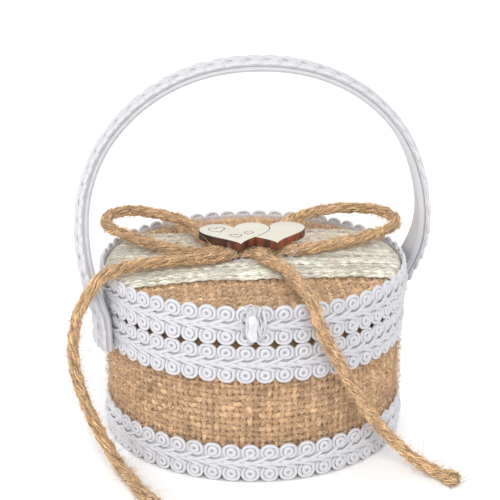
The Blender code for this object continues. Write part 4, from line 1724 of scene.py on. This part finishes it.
def heart_outline(count):
    """A heart's outline round its centre with its point towards -Y, in even steps."""
    t = np.linspace(0, math.tau, 2001)
    x = HEART_WIDTH / 2 * np.sin(t) ** 3
    y = (13 * np.cos(t) - 5 * np.cos(2 * t) - 2 * np.cos(3 * t) - np.cos(4 * t)) / 29
    y = HEART_LENGTH * (y + 2.5 / 29)
    steps = np.hypot(np.diff(x), np.diff(y))
    along = np.concatenate([[0], np.cumsum(steps)])
    at = np.linspace(0, along[-1], count, endpoint=False)
    return np.stack([np.interp(at, along, x), np.interp(at, along, y)], axis=1)


def turned(points, angle):
    """The points turned about the origin."""
    cos, sin = math.cos(angle), math.sin(angle)
    return np.stack([
        points[:, 0] * cos - points[:, 1] * sin, points[:, 0] * sin + points[:, 1] * cos,
    ], axis=1)


def charm_heart(side, count, inset=0.0):
    """One of the charm's two hearts, as it lies."""
    outline = heart_outline(count) * (1 - 2 * inset / HEART_WIDTH)
    middle = np.array((CHARM_CENTRE.x + side * HEART_SPACING / 2, CHARM_CENTRE.y))
    return turned(outline, HEART_TURN) + middle


def distance_to_lines(points, lines):
    """From each point to the nearest of the lines."""
    nearest = np.full(len(points), 1.0)
    for line in lines:
        for a, b in zip(line, line[1:]):
            run = b - a
            share = ((points - a) @ run / max(run @ run, 1e-16)).clip(0, 1)
            gap = np.linalg.norm(points - a - share[:, None] * run, axis=1)
            nearest = np.minimum(nearest, gap)
    return nearest


def inside_outline(points, outline):
    """Which of the points lie inside a closed outline."""
    inside = np.zeros(len(points), bool)
    for (ax, ay), (bx, by) in zip(outline, np.roll(outline, -1, axis=0)):
        if ay == by:
            continue
        crosses = (ay > points[:, 1]) != (by > points[:, 1])
        inside ^= crosses & (points[:, 0] < ax + (bx - ax) * (points[:, 1] - ay) / (by - ay))
    return inside


def charm_mesh(width, depth, rounding):
    """The two joined hearts with their burnt lines sunk into the face."""
    points, edges, faces = [], [], []
    for side in (-1, 1):
        ring = charm_heart(side, HEART_POINTS, rounding)
        faces.append(list(range(len(points), len(points) + len(ring))))
        points += ring.tolist()
    lines = engraved_lines()
    for line in lines:
        along = unit_vectors(np.gradient(line, axis=0))
        aside = np.stack([-along[:, 1], along[:, 0]], axis=1)
        for shift in (-width / 2, 0.0, width / 2):
            first = len(points)
            points += (line + aside * shift).tolist()
            edges += [(first + i, first + i + 1) for i in range(len(line) - 1)]
    flat, _, cuts, _, _, _ = delaunay_2d_cdt(
        [Vector(point) * 1000 for point in points], edges, faces, 0, 1e-4
    )
    flat = np.array([tuple(place) for place in flat]) / 1000
    middles = np.array([flat[list(cut)].mean(axis=0) for cut in cuts])
    kept = np.zeros(len(cuts), bool)
    for side in (-1, 1):
        kept |= inside_outline(middles, charm_heart(side, HEART_POINTS, rounding))
    cuts = [list(cut) for cut, inside in zip(cuts, kept) if inside]
    used = sorted({index for cut in cuts for index in cut})
    renumber = {old: new for new, old in enumerate(used)}
    flat = flat[used]
    cuts = [[renumber[index] for index in cut] for cut in cuts]
    sunk = depth * (1 - distance_to_lines(flat, lines) / (width / 2)).clip(0, 1)
    n = len(flat)
    places = [*np.column_stack([flat, CHARM_TOP - sunk]), *np.column_stack(
        [flat, np.full(n, CHARM_FOOT)]
    )]
    middles = np.array([flat[cut].mean(axis=0) for cut in cuts])
    burnt = distance_to_lines(middles, lines) < width * 0.42
    solid_faces = [*cuts, *([index + n for index in cut[::-1]] for cut in cuts)]
    slots = [2 if dark else 0 for dark in burnt] + [0] * len(cuts)
    directed = {(a, b) for cut in cuts for a, b in zip(cut, cut[1:] + cut[:1])}
    following = {a: b for a, b in directed if (b, a) not in directed}
    loop = [next(iter(following))]
    while following[loop[-1]] != loop[0]:
        loop.append(following[loop[-1]])
    edge = flat[loop]
    along = unit_vectors(np.roll(edge, -1, axis=0) - np.roll(edge, 1, axis=0))
    outwards = np.stack([along[:, 1], -along[:, 0]], axis=1)
    rows = [loop]
    for out, height in (
        (0.7, CHARM_TOP - 0.3 * rounding), (1.0, CHARM_TOP - rounding),
        (1.0, CHARM_FOOT + rounding),
    ):
        first = len(places)
        places += list(np.column_stack([edge + outwards * out * rounding,
                                        np.full(len(loop), height)]))
        rows.append(list(range(first, first + len(loop))))
    rows.append([index + n for index in loop])
    for upper, lower in zip(rows, rows[1:]):
        for i in range(len(loop)):
            j = (i + 1) % len(loop)
            solid_faces.append([upper[i], lower[i], lower[j], upper[j]])
            slots.append(1)
    return np.array(places), solid_faces, slots


def engraved_lines():
    """The burnt lines on the charm, flat, the left heart's edge and three small hearts."""
    count = 160
    left = charm_heart(-1, count)
    middle = CHARM_CENTRE.x + 0.0003
    lines = [left[(left[:, 0] > middle) & (np.arange(count) < count / 2)]]
    for place, size, turn, points in (
        ((-0.0118, 0.0042), 0.235, 14, 48), ((-0.0060, -0.0030), 0.165, 8, 32),
        ((-0.0016, -0.0002), 0.130, -14, 32),
    ):
        heart = heart_outline(points) * size
        heart = np.vstack([heart, heart[:1]])
        lines.append(turned(heart, math.radians(turn)) + np.array(place))
    return lines


class PILLOW_OT_charm(bpy.types.Operator):
    """Cuts the double-heart charm from pale plywood and burns its lines"""

    bl_idname = "pillow.charm"
    bl_label = "Heart charm"

    def execute(self, context):
        charm = settings("charm")
        places, faces, slots = charm_mesh(charm.line_width, charm.line_depth, CHARM_ROUNDING)
        piece = plain_object("wood_charm", places, faces)
        for material in ("plywood", "burnt_edge", "burnt_line"):
            piece.data.materials.append(finish_of(material))
        piece.data.polygons.foreach_set("material_index", slots)
        piece.data.set_sharp_from_angle(angle=math.radians(30))
        settle(piece, "plywood", "heart_charm")
        return {"FINISHED"}


class PILLOW_OT_glue(bpy.types.Operator):
    """Sets the glue at the braid's front joint and under the charm, with its loose strands"""

    bl_idname = "pillow.glue"
    bl_label = "Glue and loose strands"

    def execute(self, context):
        rng = np.random.default_rng(70)
        low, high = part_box("joint_glue")
        centre = (low + high) / 2
        half = (high - low) / 2
        turn = np.linspace(0, math.tau, 20, endpoint=False)
        rings = []
        for rise in np.linspace(-math.pi / 2, math.pi / 2, 15):
            swell = 1 + 0.16 * np.sin(3 * turn + 4 * rise) + 0.10 * np.sin(5 * rise + turn)
            slim = max(math.cos(rise), 1e-6) ** 0.7
            rings.append(np.stack([
                centre.x + half.x * slim * swell * np.cos(turn),
                centre.y + half.y * slim * np.sin(turn),
                np.full(20, centre.z + half.z * math.sin(rise)),
            ], axis=1))
        drop = sheet_of_rings("joint_glue_drop", rings, finish_of("hot_glue"))
        closed_pole(drop)
        settle(drop, "hot_glue", "joint_glue")

        # Loose threads of the braid along its front joint, and some that arch over it
        strands = Sweeper()
        reach = reach_of("upper_gimp_band")
        run = np.linspace(0, 1, 16)
        for k in range(40):
            foot = rng.uniform(-0.0060, -0.0010)
            tip = rng.uniform(0.0020, 0.0066)
            sway = rng.uniform(-0.0028, 0.0032) + 0.0006 * np.sin(run * rng.uniform(2, 6) + k)
            angle = FRONT_JOINT + (sway + rng.uniform(-0.0016, 0.0016) * run) / reach
            away = reach - 0.0006 + rng.uniform(0.0009, 0.0022) * np.sin(math.pi * run)
            line, _ = round_wall(angle, centre.z + foot + (tip - foot) * run, away)
            strands.tube(line, rng.uniform(0.00018, 0.00042), sides=6, tone=0.5)
        for k in range(14):
            start, span = rng.uniform(-0.0034, 0.0024), rng.uniform(0.0015, 0.0040)
            arch = rng.uniform(0.0008, 0.0024)
            angle = FRONT_JOINT + (start + span * run) / reach
            height = centre.z + 0.0050 + rng.uniform(-0.001, 0.0006) + arch * np.sin(
                math.pi * run
            )
            line, _ = round_wall(angle, height, reach - 0.0010 + 0.0008 * run)
            strands.tube(line, rng.uniform(0.00012, 0.00026), sides=5, tone=0.5)
        settle(strands.finish("joint_strands", finish_of("white_gimp")), "white_gimp")

        # Thin strings of glue between the top and the charm's front edge
        strings = Sweeper()
        for _ in range(10):
            side = rng.uniform(-1, 1)
            foot = np.array((
                CHARM_CENTRE.x + side * 0.013,
                CHARM_CENTRE.y - 0.0115 + 0.0030 * abs(side) + rng.uniform(-0.001, 0.001),
                KNOT_LOW.z + 0.0005,
            ))
            tip = foot + np.array((
                rng.uniform(-0.004, 0.004), rng.uniform(-0.0015, 0.0030),
                rng.uniform(0.002, 0.0042),
            ))
            t = np.linspace(0, 1, 8)[:, None]
            sag = np.array((0.0, 0.0, -0.0009)) * np.sin(math.pi * t)
            strings.tube(
                foot + (tip - foot) * t + sag, 0.00008 + 0.00010 * rng.uniform(), sides=4
            )
        settle(strings.finish("charm_glue_strings", finish_of("hot_glue")), "hot_glue")
        return {"FINISHED"}


class PILLOW_OT_inside(bpy.types.Operator):
    """Finishes the boards and the wadding inside the drum"""

    bl_idname = "pillow.inside"
    bl_label = "Boards and wadding"

    def execute(self, context):
        for node in ("drum_wall", "base_board", "top_board"):
            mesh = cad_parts[node].data
            mesh.materials.clear()
            mesh.materials.append(finish_of("paperboard"))
        low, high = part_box("top_pad")
        edge = reach_of("top_pad")
        rings = [level_ring(edge * share, height, DISC_POINTS) for share, height in (
            (0.0, low.z), (0.5, low.z), (0.97, low.z), (1.0, low.z + 0.0004),
            (1.0, low.z + 0.0010), (0.96, low.z + 0.0020), (0.85, high.z - 0.0009),
            (0.65, high.z - 0.0006), (0.35, high.z - 0.00015), (0.0, high.z),
        )]
        pad = sheet_of_rings("wadding_pad", rings, finish_of("wadding"))
        closed_pole(pad)
        puffed(pad)
        settle(pad, "wadding", "top_pad")
        return {"FINISHED"}


def puffed(pad):
    """Lets the wadding swell a little, as soft stuffing does, and keeps it in its place."""
    scene = bpy.context.scene
    rest = np.array([v.co for v in pad.data.vertices])
    soft = pad.modifiers.new("cloth", "CLOTH")
    soft.settings.use_pressure = True
    soft.settings.uniform_pressure_force = 4.0
    soft.settings.effector_weights.gravity = 0.0
    last_frame = 20
    soft.point_cache.frame_start = 1
    soft.point_cache.frame_end = last_frame
    for number in range(1, last_frame + 1):
        scene.frame_set(number)
    graph = bpy.context.evaluated_depsgraph_get()
    mesh = pad.evaluated_get(graph).to_mesh()
    moved = np.array([v.co for v in mesh.vertices])
    pad.evaluated_get(graph).to_mesh_clear()
    pad.modifiers.remove(soft)
    scene.frame_set(1)
    shift = moved - rest
    size = np.linalg.norm(shift, axis=1, keepdims=True)
    shift = shift * np.minimum(1, PAD_SWELL / np.maximum(size, 1e-9))
    pad.data.vertices.foreach_set("co", (rest + shift).astype(np.float32).ravel())
    pad.data.update()


class PILLOW_PT_panel(bpy.types.Panel):
    """Lists the pillow's pieces"""

    bl_idname = "PILLOW_PT_panel"
    bl_label = "Ring bearer pillow"
    bl_space_type = "VIEW_3D"
    bl_region_type = "UI"
    bl_category = "Pillow"

    def draw(self, context):
        for operator in OPERATORS:
            self.layout.operator(operator.bl_idname)
        for group, kind in SETTINGS.items():
            box = self.layout.box()
            box.label(text=group.capitalize())
            for name in kind.__annotations__:
                box.prop(settings(group), name)


OPERATORS = (
    PILLOW_OT_stage, PILLOW_OT_twine, PILLOW_OT_knot, PILLOW_OT_wall_cloth,
    PILLOW_OT_top_cloth, PILLOW_OT_cream_ribbon, PILLOW_OT_base_cloth,
    PILLOW_OT_braid_rings, PILLOW_OT_handle, PILLOW_OT_charm, PILLOW_OT_glue,
    PILLOW_OT_inside,
)
CLASSES = (*SETTINGS.values(), *OPERATORS, PILLOW_PT_panel)


def register():
    for kind in CLASSES:
        bpy.utils.register_class(kind)
    for group, kind in SETTINGS.items():
        setattr(bpy.types.Scene, "pillow_" + group, PointerProperty(type=kind))


def unregister():
    for group in SETTINGS:
        delattr(bpy.types.Scene, "pillow_" + group)
    for kind in reversed(CLASSES):
        bpy.utils.unregister_class(kind)


def main():
    register()
    for operator in OPERATORS:
        module, name = operator.bl_idname.split(".")
        getattr(getattr(bpy.ops, module), name)()


if __name__ == "__main__":
    main()
